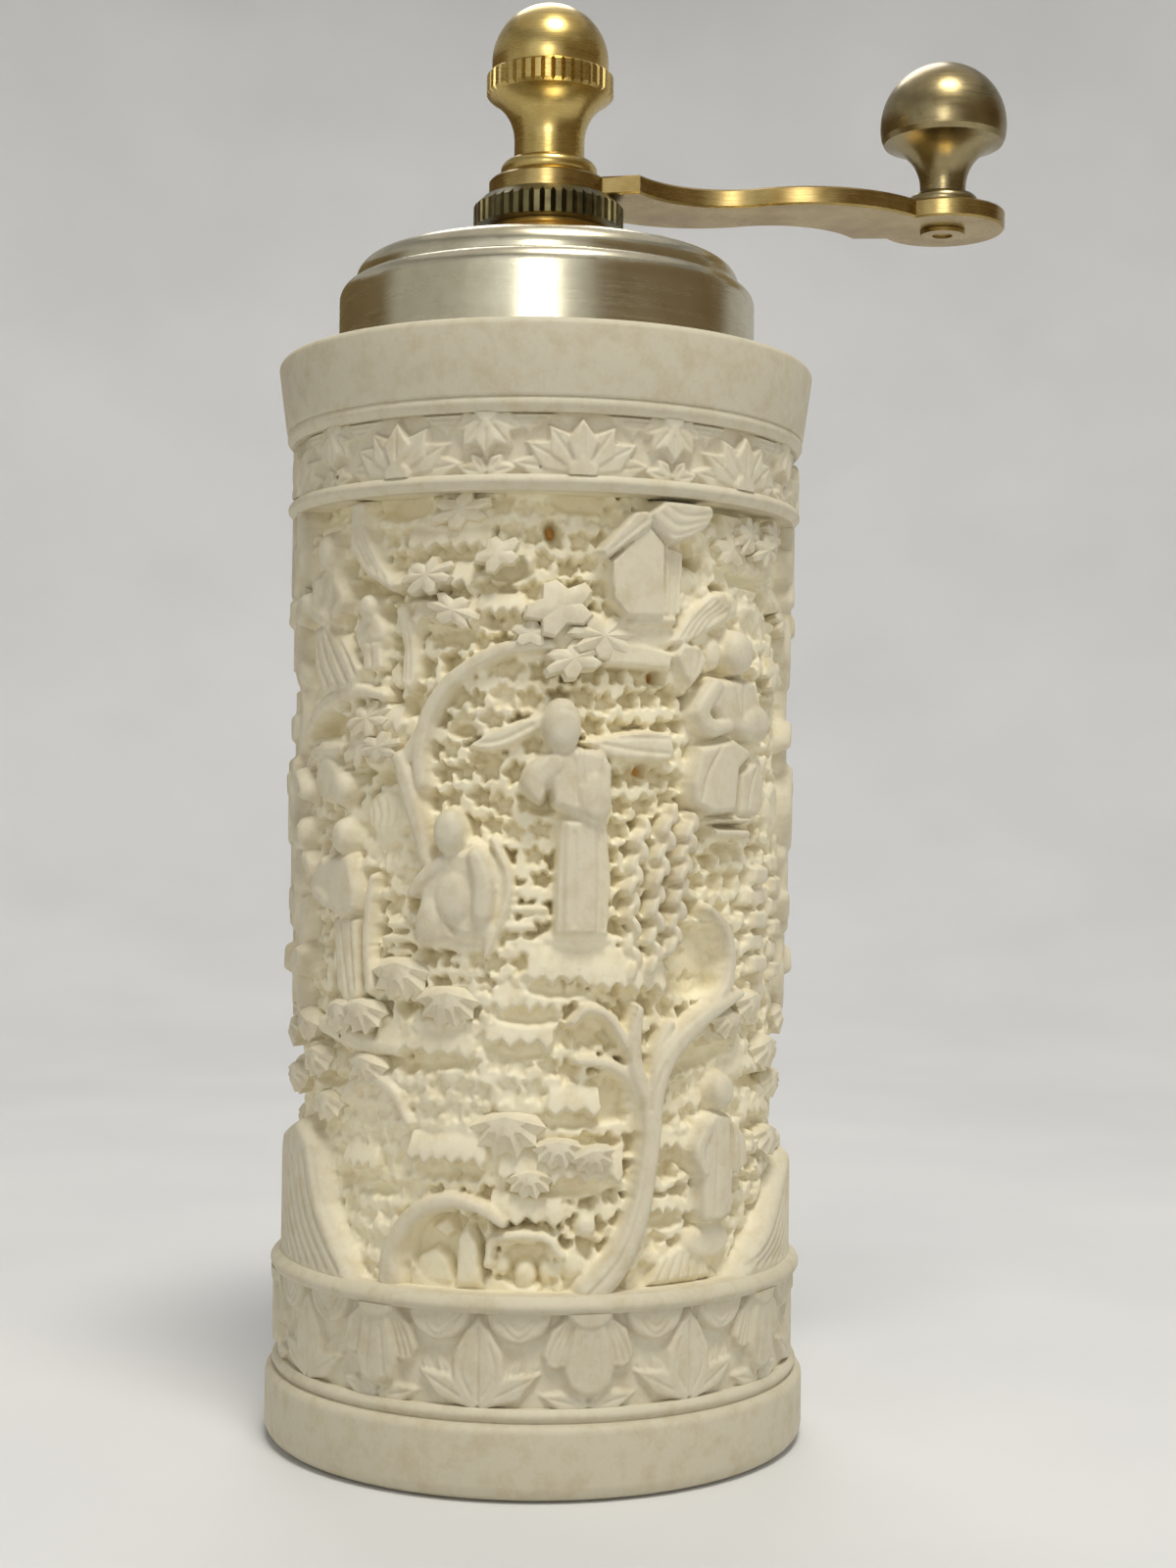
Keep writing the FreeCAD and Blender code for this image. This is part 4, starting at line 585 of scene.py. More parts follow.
def blossom_band():
    """Upper band: open blossoms with pointed petals, and a spray of leaves hanging between each two."""
    units, floor, back = 9, 22.3, 21.8
    period = 2 * math.pi * UPPER_BAND_RADIUS / units
    low, high = UPPER_BAND_LOW, UPPER_BAND_TOP
    centre = 3.2
    half = period / 2
    field = Relief(low, high, centre - half, period, 0.11)
    field.h[:] = 0.85
    field.shift = centre
    # Small fans under the upper rim, the hanging spray and leaves below it
    for u in (-half / 2 - 0.4, half / 2 + 0.4):
        field.face([(u - 2.6, high), (u + 2.6, high), (u + 1.4, 90.8), (u, 89.9), (u - 1.4, 90.8)],
                   1.3, 0.3, 0.8)
        for k in range(3):
            wide = 2.0 - 0.6 * k
            field.groove([(u - wide, 91.3 - 0.5 * k), (u + wide, 91.3 - 0.5 * k)], 0.12, 0.2)
    for angle, length, top in ((72, 3.3, 1.4), (-72, 3.3, 1.4), (40, 3.5, 1.55), (-40, 3.5, 1.55),
                               (0, 3.6, 1.75)):
        pointed_petal(field, half, high - 0.4, 180 + angle, length, 1.2, top)
    for angle, length in ((78, 2.9), (-78, 2.9), (40, 2.4), (-40, 2.4)):
        pointed_petal(field, half, low + 0.1, angle, length, 0.75, 1.35)
    field.blob(half, high, 1.1, 1.1, 1.7, 0.5, foot=0.9)
    # The open blossom
    for angle, length, top in ((82, 6.3, 1.3), (-82, 6.3, 1.3), (62, 5.7, 1.45), (-62, 5.7, 1.45),
                               (36, 5.1, 1.6), (-36, 5.1, 1.6), (0, 4.8, 1.85)):
        pointed_petal(field, 0, low + 0.2, angle, length, 1.5, top)
    field.blob(0, low + 0.3, 1.5, 1.2, 1.85, 0.5, foot=0.9)
    field.soften()
    unit = shell("blossom_unit", field, 0, field.columns, floor, back, UPPER_BAND_RADIUS, ends=False)
    return repeat_round("blossom_band", unit, units)


# Leaves and pine fans that stand off the wall

def maple_leaf(tips, height):
    """A flat, wide leaf with blunt tips on a short stalk, one unit from its middle to a side tip."""
    rim = []
    for k in range(tips):
        for part, reach in ((-0.16, 0.96), (0.16, 1.0), (0.5, 0.62)):
            angle = 2 * math.pi * (k + part + 0.2) / tips
            rim.append((reach * math.cos(angle), height * reach * math.sin(angle)))
    # Each ring's share of the rim, and its heights at both corners of a tip and at the notch
    rings = ((0.55, (0.11, 0.10, 0.06)), (0.93, (0.03, 0.01, 0.02)), (1.0, (-0.08, -0.08, -0.08)),
             (0.95, (-0.40, -0.40, -0.40)), (0.50, (-0.90, -0.90, -0.90)))
    points = [(0, 0, 0.12)] + [(share * x, share * y, heights[k % 3])
                               for share, heights in rings for k, (x, y) in enumerate(rim)]
    return solid_from_rings("maple_leaf", points, len(rim))


def pine_fan():
    """A domed fan of needles with ribs that end in teeth below; one unit is half its width."""
    ribs = 6
    rim = []
    crest = []
    for k in range(2 * ribs - 1):
        angle = math.radians(-82 + 164 * k / (2 * ribs - 2))
        reach = (1.0, 0.80)[k % 2]
        rim.append((reach * math.sin(angle), 0.28 - 0.92 * reach * math.cos(angle), (-0.10, -0.16)[k % 2]))
        crest.append((0.22, 0.20)[k % 2])
    for angle in (40, 65, 90, 115, 140):
        rim.append((0.94 * math.cos(math.radians(angle)), 0.24 + 0.36 * math.sin(math.radians(angle)), -0.12))
        crest.append(0.16)
    middle = [(0.52 * x, 0.30 + 0.52 * (y - 0.30), c) for (x, y, z), c in zip(rim, crest)]
    points = [(0, 0.34, 0.27)] + middle + rim
    points += [(0.93 * x, 0.05 + 0.93 * y, z - 0.22) for x, y, z in rim]
    points += [(0.6 * x, 0.1 + 0.6 * y, -1.1) for x, y, z in rim]
    return solid_from_rings("pine_fan", points, len(rim))


def solid_from_rings(name, points, count):
    """A closed shape with a flat back, from a middle point and rings of count points."""
    faces = [(0, 1 + k, 1 + (k + 1) % count) for k in range(count)]
    rings = (len(points) - 1) // count
    for ring in range(rings - 1):
        start = 1 + ring * count
        faces += [(start + k, start + count + k, start + count + (k + 1) % count, start + (k + 1) % count)
                  for k in range(count)]
    faces.append([len(points) - 1 - k for k in range(count)])
    return new_piece(name, points, faces, resin, crease=35)


def place_all(name, template, places):
    """Set copies of a template on the wall; places are (u, z, size, spin and tilt in degrees, radius)."""
    tree, (_, shape, lean, seed), given = new_tree(
        "set_on_wall", {"Points": "Geometry", "Shape": "Object", "Lean": "Float", "Seed": "Int"}, "Leaves")
    leaf = add(tree, "GeometryNodeObjectInfo", {"Object": given["Shape"]})
    spots = add(tree, "GeometryNodeMeshToPoints", {"Mesh": given["Points"]})
    turn = add(tree, "GeometryNodeInputNamedAttribute", {"Name": "turn"}, data_type="FLOAT_VECTOR")
    size = add(tree, "GeometryNodeInputNamedAttribute", {"Name": "size"}, data_type="FLOAT")
    rotation = add(tree, "FunctionNodeEulerToRotation", {"Euler": turn.outputs["Attribute"]})
    back = add(tree, "ShaderNodeMath", {0: given["Lean"], 1: -1}, operation="MULTIPLY")
    least = add(tree, "ShaderNodeCombineXYZ", {"X": back.outputs["Value"], "Y": back.outputs["Value"]})
    most = add(tree, "ShaderNodeCombineXYZ", {"X": given["Lean"], "Y": given["Lean"]})
    drift = add(tree, "FunctionNodeRandomValue",
                {"Min": least.outputs["Vector"], "Max": most.outputs["Vector"], "Seed": given["Seed"]},
                data_type="FLOAT_VECTOR")
    nudge = add(tree, "FunctionNodeEulerToRotation", {"Euler": drift.outputs["Value"]})
    leaning = add(tree, "FunctionNodeRotateRotation",
                  {"Rotation": rotation.outputs["Rotation"], "Rotate By": nudge.outputs["Rotation"]},
                  rotation_space="LOCAL")
    copies = add(tree, "GeometryNodeInstanceOnPoints", {"Points": spots.outputs["Points"],
                                                        "Instance": leaf.outputs["Geometry"],
                                                        "Rotation": leaning.outputs["Rotation"],
                                                        "Scale": size.outputs["Attribute"]})
    joined = add(tree, "GeometryNodeRealizeInstances", {"Geometry": copies.outputs["Instances"]})
    painted = add(tree, "GeometryNodeSetMaterial",
                  {"Geometry": joined.outputs["Geometry"], "Material": resin})
    add(tree, "NodeGroupOutput", {"Leaves": painted.outputs["Geometry"]})
    points = []
    for u, z, scale, spin, tilt, radius in places:
        a = FRONT + u / CARVED_RADIUS
        stand = Matrix(((-math.sin(a), 0, math.cos(a)), (math.cos(a), 0, math.sin(a)), (0, 1, 0)))
        leant = stand @ Matrix.Rotation(math.radians(tilt), 3, "X")
        spun = leant @ Matrix.Rotation(math.radians(spin), 3, "Z")
        points.append({"at": on_wall(u, z, radius), "turn": spun.to_euler()[:], "size": scale})
    return grow(name, tree, points, {shape: template, lean: 0.14, seed: 11}, template)


# Places of the leaves and fans, by tier: (u, z, size in millimetres, spin in degrees)
MAPLES_HIGH = [(-7.7, 83.6, 2.9, 12), (-4.1, 79.8, 2.2, 28), (-10.6, 78.0, 2.6, 20), (-8.3, 75.0, 2.6, -20),
               (1.5, 75.3, 3.4, 27), (5.5, 72.9, 3.3, 3), (2.8, 70.9, 3.0, 20), (-1.0, 73.0, 1.8, 0),
               (-17.4, 65.8, 2.6, 22), (-15.7, 63.3, 2.4, 8), (-18.7, 63.5, 2.3, 50), (21.9, 82.7, 2.6, 30),
               (24.8, 81.7, 2.7, 15), (19.4, 81.2, 2.2, 0), (27.0, 83.2, 2.4, 20), (-29.4, 81.2, 2.4, 40),
               (28.0, 70.8, 2.2, 12), (-31.0, 77.0, 2.4, 0), (33.0, 76.0, 2.4, 18), (-33.0, 66.0, 2.4, 25),
               (-29.0, 61.8, 2.2, 45)]
FANS_LOW = [(-13.4, 43.4, 3.3, 0), (-8.2, 41.2, 3.0, 0), (-17.4, 40.0, 2.7, 0), (-17.2, 35.3, 2.6, -4),
            (-20.6, 39.8, 2.7, 6), (-2.7, 30.6, 3.4, 0), (1.9, 29.0, 2.3, 0), (5.0, 28.4, 2.1, 12),
            (-0.6, 26.4, 2.2, 0), (19.6, 39.4, 2.3, -4), (24.0, 40.8, 2.5, 0), (27.2, 36.4, 2.7, 0),
            (-24.6, 35.4, 2.6, 5), (-23.2, 31.6, 2.5, 0), (-27.6, 38.4, 2.7, -6), (30.4, 33.2, 2.6, 4),
            (28.0, 28.4, 2.6, -4), (-30.2, 33.4, 2.6, 0), (33.8, 39.0, 2.6, 0), (-33.6, 37.4, 2.6, 0),
            (34.0, 27.2, 2.4, 0)]

# How far each tier of the front is moved round the wall to fill the back
BACK_HIGH = math.radians(200) * CARVED_RADIUS
BACK_MIDDLE = math.radians(172) * CARVED_RADIUS
BACK_LOW = math.radians(190) * CARVED_RADIUS


def both_halves(places, back, tilt, radius):
    """Places on the front, and the same again on the back, at slightly uneven radii."""
    spread = 0.3
    return [(shift + u, z, size, spin, tilt, radius + spread * ((7 * k) % 5 - 2) / 2)
            for shift in (0, back) for k, (u, z, size, spin) in enumerate(places)]


MAPLE_LEAVES = both_halves(MAPLES_HIGH, BACK_HIGH, -10, 22.8)
PINE_FANS = both_halves(FANS_LOW, BACK_LOW, -14, 22.7)


# The carved scene

def ground(field, draw):
    """The ground behind the scene: a net of star-shaped hollows in staggered rows."""
    per_row, pitch, star_points = 64, 2.25, 5
    ground_level, pit_depth = 2.25, 1.7
    waver, scatter = 0.6, 0.3
    across = field.columns * field.step / per_row
    u, z = np.meshgrid(field.u - field.left, field.z)
    u = u + waver * unevenness(field, draw, 26, 13)
    z = np.clip(z + waver * unevenness(field, draw, 30, 15), SCENE_LOW, SCENE_HIGH)
    row = np.floor((z - SCENE_LOW) / pitch).astype(int)
    place = u / across + 0.5 * (row % 2)
    column = np.floor(place).astype(int) % per_row
    turn, size, depth, dx, dy = draw.uniform(-1, 1, (5, row.max() + 1, per_row))
    x = (place - np.floor(place) - 0.5) * across - scatter * dx[row, column]
    y = (z - SCENE_LOW) - (row + 0.5) * pitch - scatter * dy[row, column]
    swing = (np.arctan2(y, x) - 0.5 * math.pi + 0.3 * turn[row, column]) * star_points / (2 * math.pi)
    tip = np.abs((swing % 1) - 0.5) * 2
    reach = (0.68 + 0.50 * tip ** 1.5) * (1 + 0.15 * size[row, column])
    pit = np.clip((reach - np.hypot(x / 1.12, y / 0.94)) / 0.12, 0, 1)
    level = ground_level + 0.45 * unevenness(field, draw, 14, 7) + 0.2 * unevenness(field, draw, 70, 34)
    # Pits are deepest at their upper edge, fade in patches, and the ground sinks under the upper rim
    slope = 0.6 + 0.4 * np.clip((y + 1.0) / 1.7, 0, 1)
    patch = np.clip(0.9 + 1.3 * unevenness(field, draw, 13, 9), 0.3, 1)
    rough = 0.16 * unevenness(field, draw, 150, 70) * (1.25 - patch)
    under_rim = np.clip((field.z - SCENE_HIGH + 1.8) / 1.2, 0, 1)[:, None]
    sunk = pit * (pit_depth + 0.35 * depth[row, column]) * slope * patch
    field.h = level + rough - sunk - 0.9 * under_rim


def unevenness(field, draw, across, up):
    """Smooth noise from -1 to 1 that closes round the wall, with so many swings across and up."""
    grid = draw.uniform(-1, 1, (up + 1, across))
    spots = np.linspace(0, up, len(field.z))
    k = np.minimum(spots.astype(int), up - 1)
    t = (spots - k)[:, None]
    t = t * t * (3 - 2 * t)
    tall = grid[k] * (1 - t) + grid[k + 1] * t
    spots = np.arange(len(field.u)) * across / len(field.u)
    k = spots.astype(int)
    t = spots - k
    t = t * t * (3 - 2 * t)
    return tall[:, k] * (1 - t) + tall[:, (k + 1) % across] * t


def hollow(field, u, z, across, up, floor):
    """A rounded hollow cut down to a floor."""
    field.cut(u, z, max(across, up) * 1.1, oval(across, up), 0, 0.35, floor)


def pierced(field, u, z, size):
    """A funnel-shaped hole almost through the wall, where the amber shows."""
    field.cut(u, z, size * 1.5, oval(size * 1.1, size * 1.3), 0, 0.6 * size, -0.4)


def lines(field, paths, half=0.17, depth=0.3):
    """Shallow cut lines, each through its own points."""
    for points in paths:
        field.groove(points, half, depth)


def combed(field, first, last, count, half=0.16, depth=0.3):
    """Cut lines spread evenly between a first line and a last one."""
    for k in range(count):
        t = k / (count - 1)
        field.groove([(a[0] + (b[0] - a[0]) * t, a[1] + (b[1] - a[1]) * t) for a, b in zip(first, last)],
                     half, depth)


def fringe(field, left, right, high, low, teeth, top):
    """A skirt of leaves: level with the ground above, and standing out below over a hollow, in teeth."""
    tooth, uneven = 1.0, (0.0, 0.4, 0.15, 0.55)
    root, hollow_height, hollow_floor = 2.1, 0.9, 1.2
    hollow(field, (left + right) / 2, low, (right - left) / 2, hollow_height, hollow_floor)
    step = (right - left) / (2 * teeth)
    hem = [(right - step * k,
            low + (tooth if k % 2 == 0 else uneven[k // 2 % 4])) for k in range(2 * teeth + 1)]
    corners = [(left + 0.2, high), (right - 0.2, high)] + hem
    middle = np.mean(corners, axis=0)[1]

    def slope(x, y):
        return top - (top - root) * np.clip((y + middle - low) / (high - low), 0, 1) ** 1.5
    field.face(corners, slope, 0.3)
    for k in range(1, teeth):
        x = left + 2 * step * k
        field.groove([(x, low + tooth), (x + 0.1, 0.6 * low + 0.4 * high)], 0.18, 0.2)


def figure_frame(u, foot, tall, side=1):
    """What turns shares of a figure's height, and of widths after them, into places on the wall."""
    def at(*points):
        return [(u + side * x * tall, foot + y * tall, *(w * tall for w in rest)) for x, y, *rest in points]
    return at


def standing_figure(field, u, foot, tall, side=1):
    """A robed figure seen from the front: long skirt, jacket with wide sleeves and a plain oval head."""
    at = figure_frame(u, foot, tall, side)
    field.blob(u, foot - 0.01 * tall, 0.2 * tall, 0.05 * tall, 2.5)
    field.face(at((-0.12, 0.0), (0.14, 0.0), (0.155, 0.25), (0.13, 0.52), (-0.10, 0.52), (-0.115, 0.25)),
               3.1, 0.6, 1.2)
    field.face(at((-0.075, 0.01), (0.075, 0.01), (0.08, 0.3), (0.07, 0.5), (-0.07, 0.5), (-0.075, 0.3)),
               3.45, 0.3, 2.6)
    lines(field, [at((0.115, 0.03), (0.12, 0.25), (0.105, 0.45))], 0.012 * tall, 0.3)
    field.face(at((-0.13, 0.56), (-0.02, 0.51), (0.06, 0.475), (0.12, 0.50), (0.14, 0.60), (0.145, 0.74),
                  (0.10, 0.80), (-0.02, 0.82), (-0.12, 0.78), (-0.15, 0.70)), 3.7, 0.9, 2.6)
    field.blob(*at((0.055, 0.60))[0], 0.088 * tall, 0.135 * tall, 4.05, foot=3.0)
    field.limb(at((-0.11, 0.75, 0.055), (-0.18, 0.70, 0.075), (-0.21, 0.66, 0.07), (-0.19, 0.60, 0.03)), 3.9)
    lines(field, [at((-0.06, 0.81), (-0.03, 0.72), (-0.02, 0.58)),
                  at((0.0, 0.82), (-0.005, 0.74), (0.0, 0.66))], 0.012 * tall, 0.28)
    lines(field, [at((0.10, 0.78), (0.09, 0.68), (0.11, 0.56)),
                  at((-0.14, 0.76), (-0.16, 0.70), (-0.15, 0.64)),
                  at((-0.10, 0.56), (0.0, 0.53), (0.08, 0.50)),
                  at((-0.03, 0.45), (-0.025, 0.25), (-0.03, 0.05))], 0.011 * tall, 0.24)
    field.blob(*at((-0.09, 0.905))[0], 0.09 * tall, 0.128 * tall, 4.35, foot=2.8)
    lines(field, [at((-0.16, 0.955), (-0.09, 0.98), (-0.02, 0.955))], 0.01 * tall, 0.14)


def seated_figure(field, u, foot, tall):
    """A crouched figure: round back, wide sleeve, bent knees with folds and a plain oval head."""
    at = figure_frame(u, foot, tall)
    field.blob(*at((0.04, 0.38))[0], 0.36 * tall, 0.42 * tall, 2.7, 0.7, foot=1.4)
    field.limb(at((0.27, 0.78, 0.03), (0.38, 0.56, 0.035), (0.38, 0.36, 0.035), (0.28, 0.08, 0.03)), 3.0)
    field.face(at((-0.27, 0.02), (0.24, 0.08), (0.30, 0.34), (0.24, 0.62), (0.08, 0.72), (-0.12, 0.70),
                  (-0.30, 0.46), (-0.33, 0.2)), 3.3, 0.9, 1.8)
    field.blob(*at((-0.22, 0.20))[0], 0.12 * tall, 0.21 * tall, 3.7, foot=2.4, turn=-0.25)
    field.blob(*at((-0.02, 0.36))[0], 0.17 * tall, 0.22 * tall, 3.75, foot=2.6)
    field.limb(at((0.15, 0.66, 0.065), (0.21, 0.48, 0.085), (0.20, 0.27, 0.08)), 4.0)
    field.limb(at((0.22, 0.22, 0.06), (0.25, 0.08, 0.045), (0.23, -0.04, 0.03)), 3.2)
    field.limb(at((-0.12, 0.62, 0.06), (-0.28, 0.50, 0.055), (-0.36, 0.40, 0.045)), 3.6)
    for k in range(3):
        field.groove(at((-0.14 + 0.05 * k, 0.28 - 0.03 * k), (0.0, 0.13 - 0.03 * k), (0.17, 0.10 - 0.03 * k)),
                     0.014 * tall, 0.3)
    field.blob(*at((-0.06, 0.84))[0], 0.125 * tall, 0.17 * tall, 4.25, foot=2.8)


def pavilion(field):
    """A small pavilion under the upper rim: gabled front, side wall, thick curved roof and a stone step."""
    field.blob(8.8, 73.2, 4.6, 1.7, 2.6, 1.0)
    field.face([(7.2, 73.7), (12.7, 74.1), (12.6, 75.0), (8.6, 74.8)], 3.2, 0.3, 1.8)
    field.face([(11.0, 74.8), (13.1, 75.0), (13.3, 80.6), (11.1, 81.0)], 3.1, 0.2, 1.4)
    lines(field, [[(11.9, 75.2), (12.0, 80.4)], [(12.6, 75.3), (12.7, 80.4)]], 0.16, 0.35)
    field.face([(5.8, 79.3), (6.0, 76.0), (7.3, 74.5), (11.0, 74.6), (11.1, 81.0), (9.4, 82.6)],
               3.65, 0.2, 1.4)
    field.face([(4.6, 80.1), (5.4, 79.2), (9.7, 82.5), (9.2, 83.9), (7.9, 83.7)], 4.0, 0.35, 1.8)
    lines(field, [[(5.5, 79.9), (7.2, 81.4), (9.0, 82.9)]], 0.14, 0.25)
    field.face([(9.0, 83.6), (10.6, 84.9), (15.7, 84.9), (16.2, 83.8), (15.2, 82.4), (13.4, 81.4),
                (11.3, 80.8), (9.6, 82.3)], 4.2, 0.7, 1.8)
    combed(field, [(9.8, 82.8), (11.6, 81.7), (14.8, 82.8)], [(10.8, 84.3), (12.6, 83.5), (15.6, 83.9)],
           3, 0.15, 0.24)


def high_tier(field):
    """Upper part of the scene: pavilion, maple grove, arched branches, a watcher and their neighbours."""
    # Hollows, piercings and skirts of leaves
    for u, z, across, up in ((-21.4, 84.6, 1.7, 1.0), (-14.2, 84.3, 3.2, 1.3), (3.6, 84.5, 3.7, 1.2),
                             (20.0, 84.5, 4.2, 1.1), (14.4, 80.6, 1.0, 1.5), (11.1, 69.6, 1.1, 0.9),
                             (9.6, 61.6, 2.2, 0.8), (-17.0, 77.5, 2.6, 1.1), (-25.0, 65.4, 4.4, 1.3),
                             (-12.6, 66.9, 1.8, 1.0), (-7.4, 64.7, 1.6, 0.7), (-5.2, 62.4, 1.8, 0.7),
                             (-8.4, 72.8, 2.4, 0.8), (-3.2, 78.3, 1.7, 1.0), (18.4, 77.6, 1.1, 0.7),
                             (27.6, 77.4, 3.0, 1.0)):
        hollow(field, u, z, across, up, 0.6)
    for u, z, size in ((0.5, 81.9, 0.85), (15.4, 79.7, 0.6), (11.5, 69.6, 0.55), (17.7, 77.5, 0.6),
                       (10.2, 61.4, 0.6)):
        pierced(field, u, z, size)
    for skirt in ((-13.2, -4.6, 82.8, 79.8, 6, 3.1), (-6.4, -0.6, 80.8, 78.5, 4, 3.0),
                  (-13.4, -6.2, 79.4, 76.5, 5, 3.2), (-12.6, -6.0, 76.2, 73.5, 5, 3.2),
                  (-6.2, -1.4, 76.6, 74.1, 4, 3.0), (18.4, 28.4, 84.6, 81.8, 7, 3.1),
                  (19.4, 27.2, 81.6, 78.9, 5, 3.1), (-20.6, -13.2, 67.2, 64.3, 5, 3.1),
                  (-19.8, -13.8, 64.5, 61.7, 4, 3.1), (26.4, 33.0, 72.6, 69.8, 5, 3.1),
                  (-33.4, -27.6, 80.4, 77.6, 4, 3.1), (27.0, 33.6, 79.0, 76.2, 5, 3.1)):
        fringe(field, *skirt)
    # Mounds behind the leaves, the pavilion and what grows beside it
    field.blob(3.2, 72.8, 5.4, 2.6, 2.5, 1.6)
    field.blob(23.6, 81.4, 4.6, 2.6, 2.5, 1.6)
    field.blob(-16.6, 64.0, 3.6, 3.0, 2.6, 1.6)
    pavilion(field)
    field.face([(5.3, 70.4), (12.3, 70.2), (12.5, 71.8), (9.0, 72.5), (6.0, 72.3)], 2.9, 0.4, 1.4)
    field.face([(11.6, 72.5), (13.4, 72.2), (16.4, 73.6), (18.8, 74.6), (19.7, 76.6), (18.4, 77.7),
                (16.6, 77.3), (14.0, 75.6)], 3.2, 0.8, 1.6)
    combed(field, [(12.3, 72.9), (13.8, 74.8), (16.2, 76.9)], [(15.4, 73.5), (16.6, 74.8), (18.6, 75.8)], 5)
    field.blob(19.4, 76.2, 1.7, 1.5, 3.0)
    field.face([(12.2, 71.6), (13.2, 72.7), (15.2, 72.6), (16.2, 71.2), (15.4, 69.9), (14.1, 68.5),
                (13.0, 69.8)], 3.4, 0.6, 1.8)
    lines(field, [[(14.2, 72.2), (14.2, 70.6), (14.1, 69.2)], [(13.3, 71.9), (13.6, 70.8), (13.9, 69.9)],
                  [(15.2, 71.9), (14.9, 70.8), (14.5, 69.9)]], 0.14, 0.28)
    # A tall leaf, and two small figures at the left
    field.face([(-20.1, 85.1), (-18.1, 85.1), (-17.6, 82.6), (-15.6, 79.4), (-13.3, 77.3), (-14.6, 76.6),
                (-17.8, 78.2), (-20.1, 80.4)], 3.4, 0.8, 1.6)
    combed(field, [(-19.6, 84.4), (-19.0, 81.4), (-17.2, 79.0)],
           [(-18.4, 84.4), (-17.4, 81.6), (-14.2, 77.4)], 4)
    field.blob(-23.6, 76.9, 2.7, 3.0, 3.3, 1.1, foot=1.8)
    field.limb([(-25.4, 78.2, 0.8), (-26.2, 75.8, 0.9), (-24.0, 75.0, 0.8)], 3.7)
    field.limb([(-21.8, 78.0, 0.7), (-20.8, 76.4, 0.8), (-22.0, 75.2, 0.7)], 3.7)
    field.blob(-23.4, 80.9, 1.4, 1.8, 4.1, foot=2.6)
    field.face([(-26.6, 74.4), (-23.4, 74.7), (-20.6, 73.0), (-18.0, 70.2), (-19.2, 68.4), (-24.6, 68.1),
                (-26.4, 71.0)], 3.4, 0.9, 1.8)
    combed(field, [(-25.6, 73.2), (-24.8, 70.8), (-22.8, 68.6)],
           [(-22.6, 73.9), (-20.6, 72.0), (-18.6, 69.4)], 4, 0.2, 0.4)
    field.blob(-17.4, 73.3, 2.2, 2.0, 3.1, 1.0)
    field.face([(-18.4, 72.6), (-15.9, 72.6), (-15.5, 70.0), (-18.4, 70.0)], 3.0, 0.4, 1.8)
    lines(field, [[(-17.2, 72.4), (-17.1, 70.3)], [(-18.4, 72.5), (-16.0, 72.6)]], 0.16, 0.3)
    field.blob(-17.4, 75.5, 1.1, 1.35, 3.7, foot=2.4)
    field.face([(-14.6, 75.4), (-13.2, 76.0), (-11.9, 73.6), (-11.7, 69.6), (-12.4, 67.8), (-13.8, 68.6),
                (-13.6, 71.8)], 2.9, 0.6, 1.4)
    combed(field, [(-14.0, 75.0), (-13.2, 72.0), (-13.2, 69.0)],
           [(-13.0, 75.2), (-12.2, 72.2), (-12.2, 69.0)], 3)
    # Arched branches, and leaves at both sides of the middle figure's head
    field.limb([(-30.5, 63.8, 0.8), (-27.0, 66.2, 0.85), (-23.0, 67.7, 0.85), (-19.0, 68.3, 0.7),
                (-15.4, 67.8, 0.5)], 3.2)
    field.limb([(-11.2, 60.3, 0.8), (-11.4, 63.0, 0.85), (-10.5, 66.2, 0.85), (-8.5, 68.8, 0.8),
                (-5.5, 70.8, 0.75), (-2.6, 71.9, 0.65), (0.8, 72.0, 0.5)], 3.4)
    field.limb([(-13.5, 62.3, 0.8), (-12.4, 59.5, 1.05), (-11.3, 56.5, 0.95), (-10.5, 53.6, 0.6)], 3.5)
    field.limb([(-13.2, 62.0, 0.7), (-12.2, 63.4, 0.75), (-11.4, 64.6, 0.7)], 3.2)
    field.face([(-7.2, 63.3), (-4.6, 62.8), (-2.6, 63.3), (0.2, 64.8), (0.4, 66.4), (-2.2, 65.7),
                (-4.8, 64.7)], 2.9, 0.5, 1.4)
    lines(field, [[(-6.0, 63.6), (-3.6, 63.9), (-0.8, 65.2)]])
    field.face([(3.2, 63.9), (6.4, 62.3), (12.2, 62.1), (12.9, 63.1), (12.4, 64.9), (9.5, 65.1),
                (6.0, 64.5)], 3.0, 0.6, 1.5)
    combed(field, [(5.4, 63.7), (8.6, 63.2), (12.2, 63.0)], [(6.2, 64.1), (9.0, 64.3), (12.0, 64.3)], 2)
    watcher(field)


def side_trees(field):
    """Trees at both sides that close the scene: knotted trunks with clumps of leaves."""
    for u, sway in ((-34.8, 0.9), (35.4, -0.9)):
        for k in range(6):
            z = 40.0 + 7.6 * k
            bend = sway * (-1) ** k
            field.limb([(u - bend, z, 1.0), (u + bend, z + 3.0, 1.5), (u + 0.4 * bend, z + 6.8, 0.8)],
                       3.5 + 0.3 * (k % 3))
        for k in range(8):
            out = (2.4, -1.6, 0.6)[k % 3]
            field.blob(u + out, 44.2 + 5.3 * k, 2.3, 1.3, 4.3 - 0.35 * (k % 3), 0.8, 0.6 * (-1) ** k, 2.2)


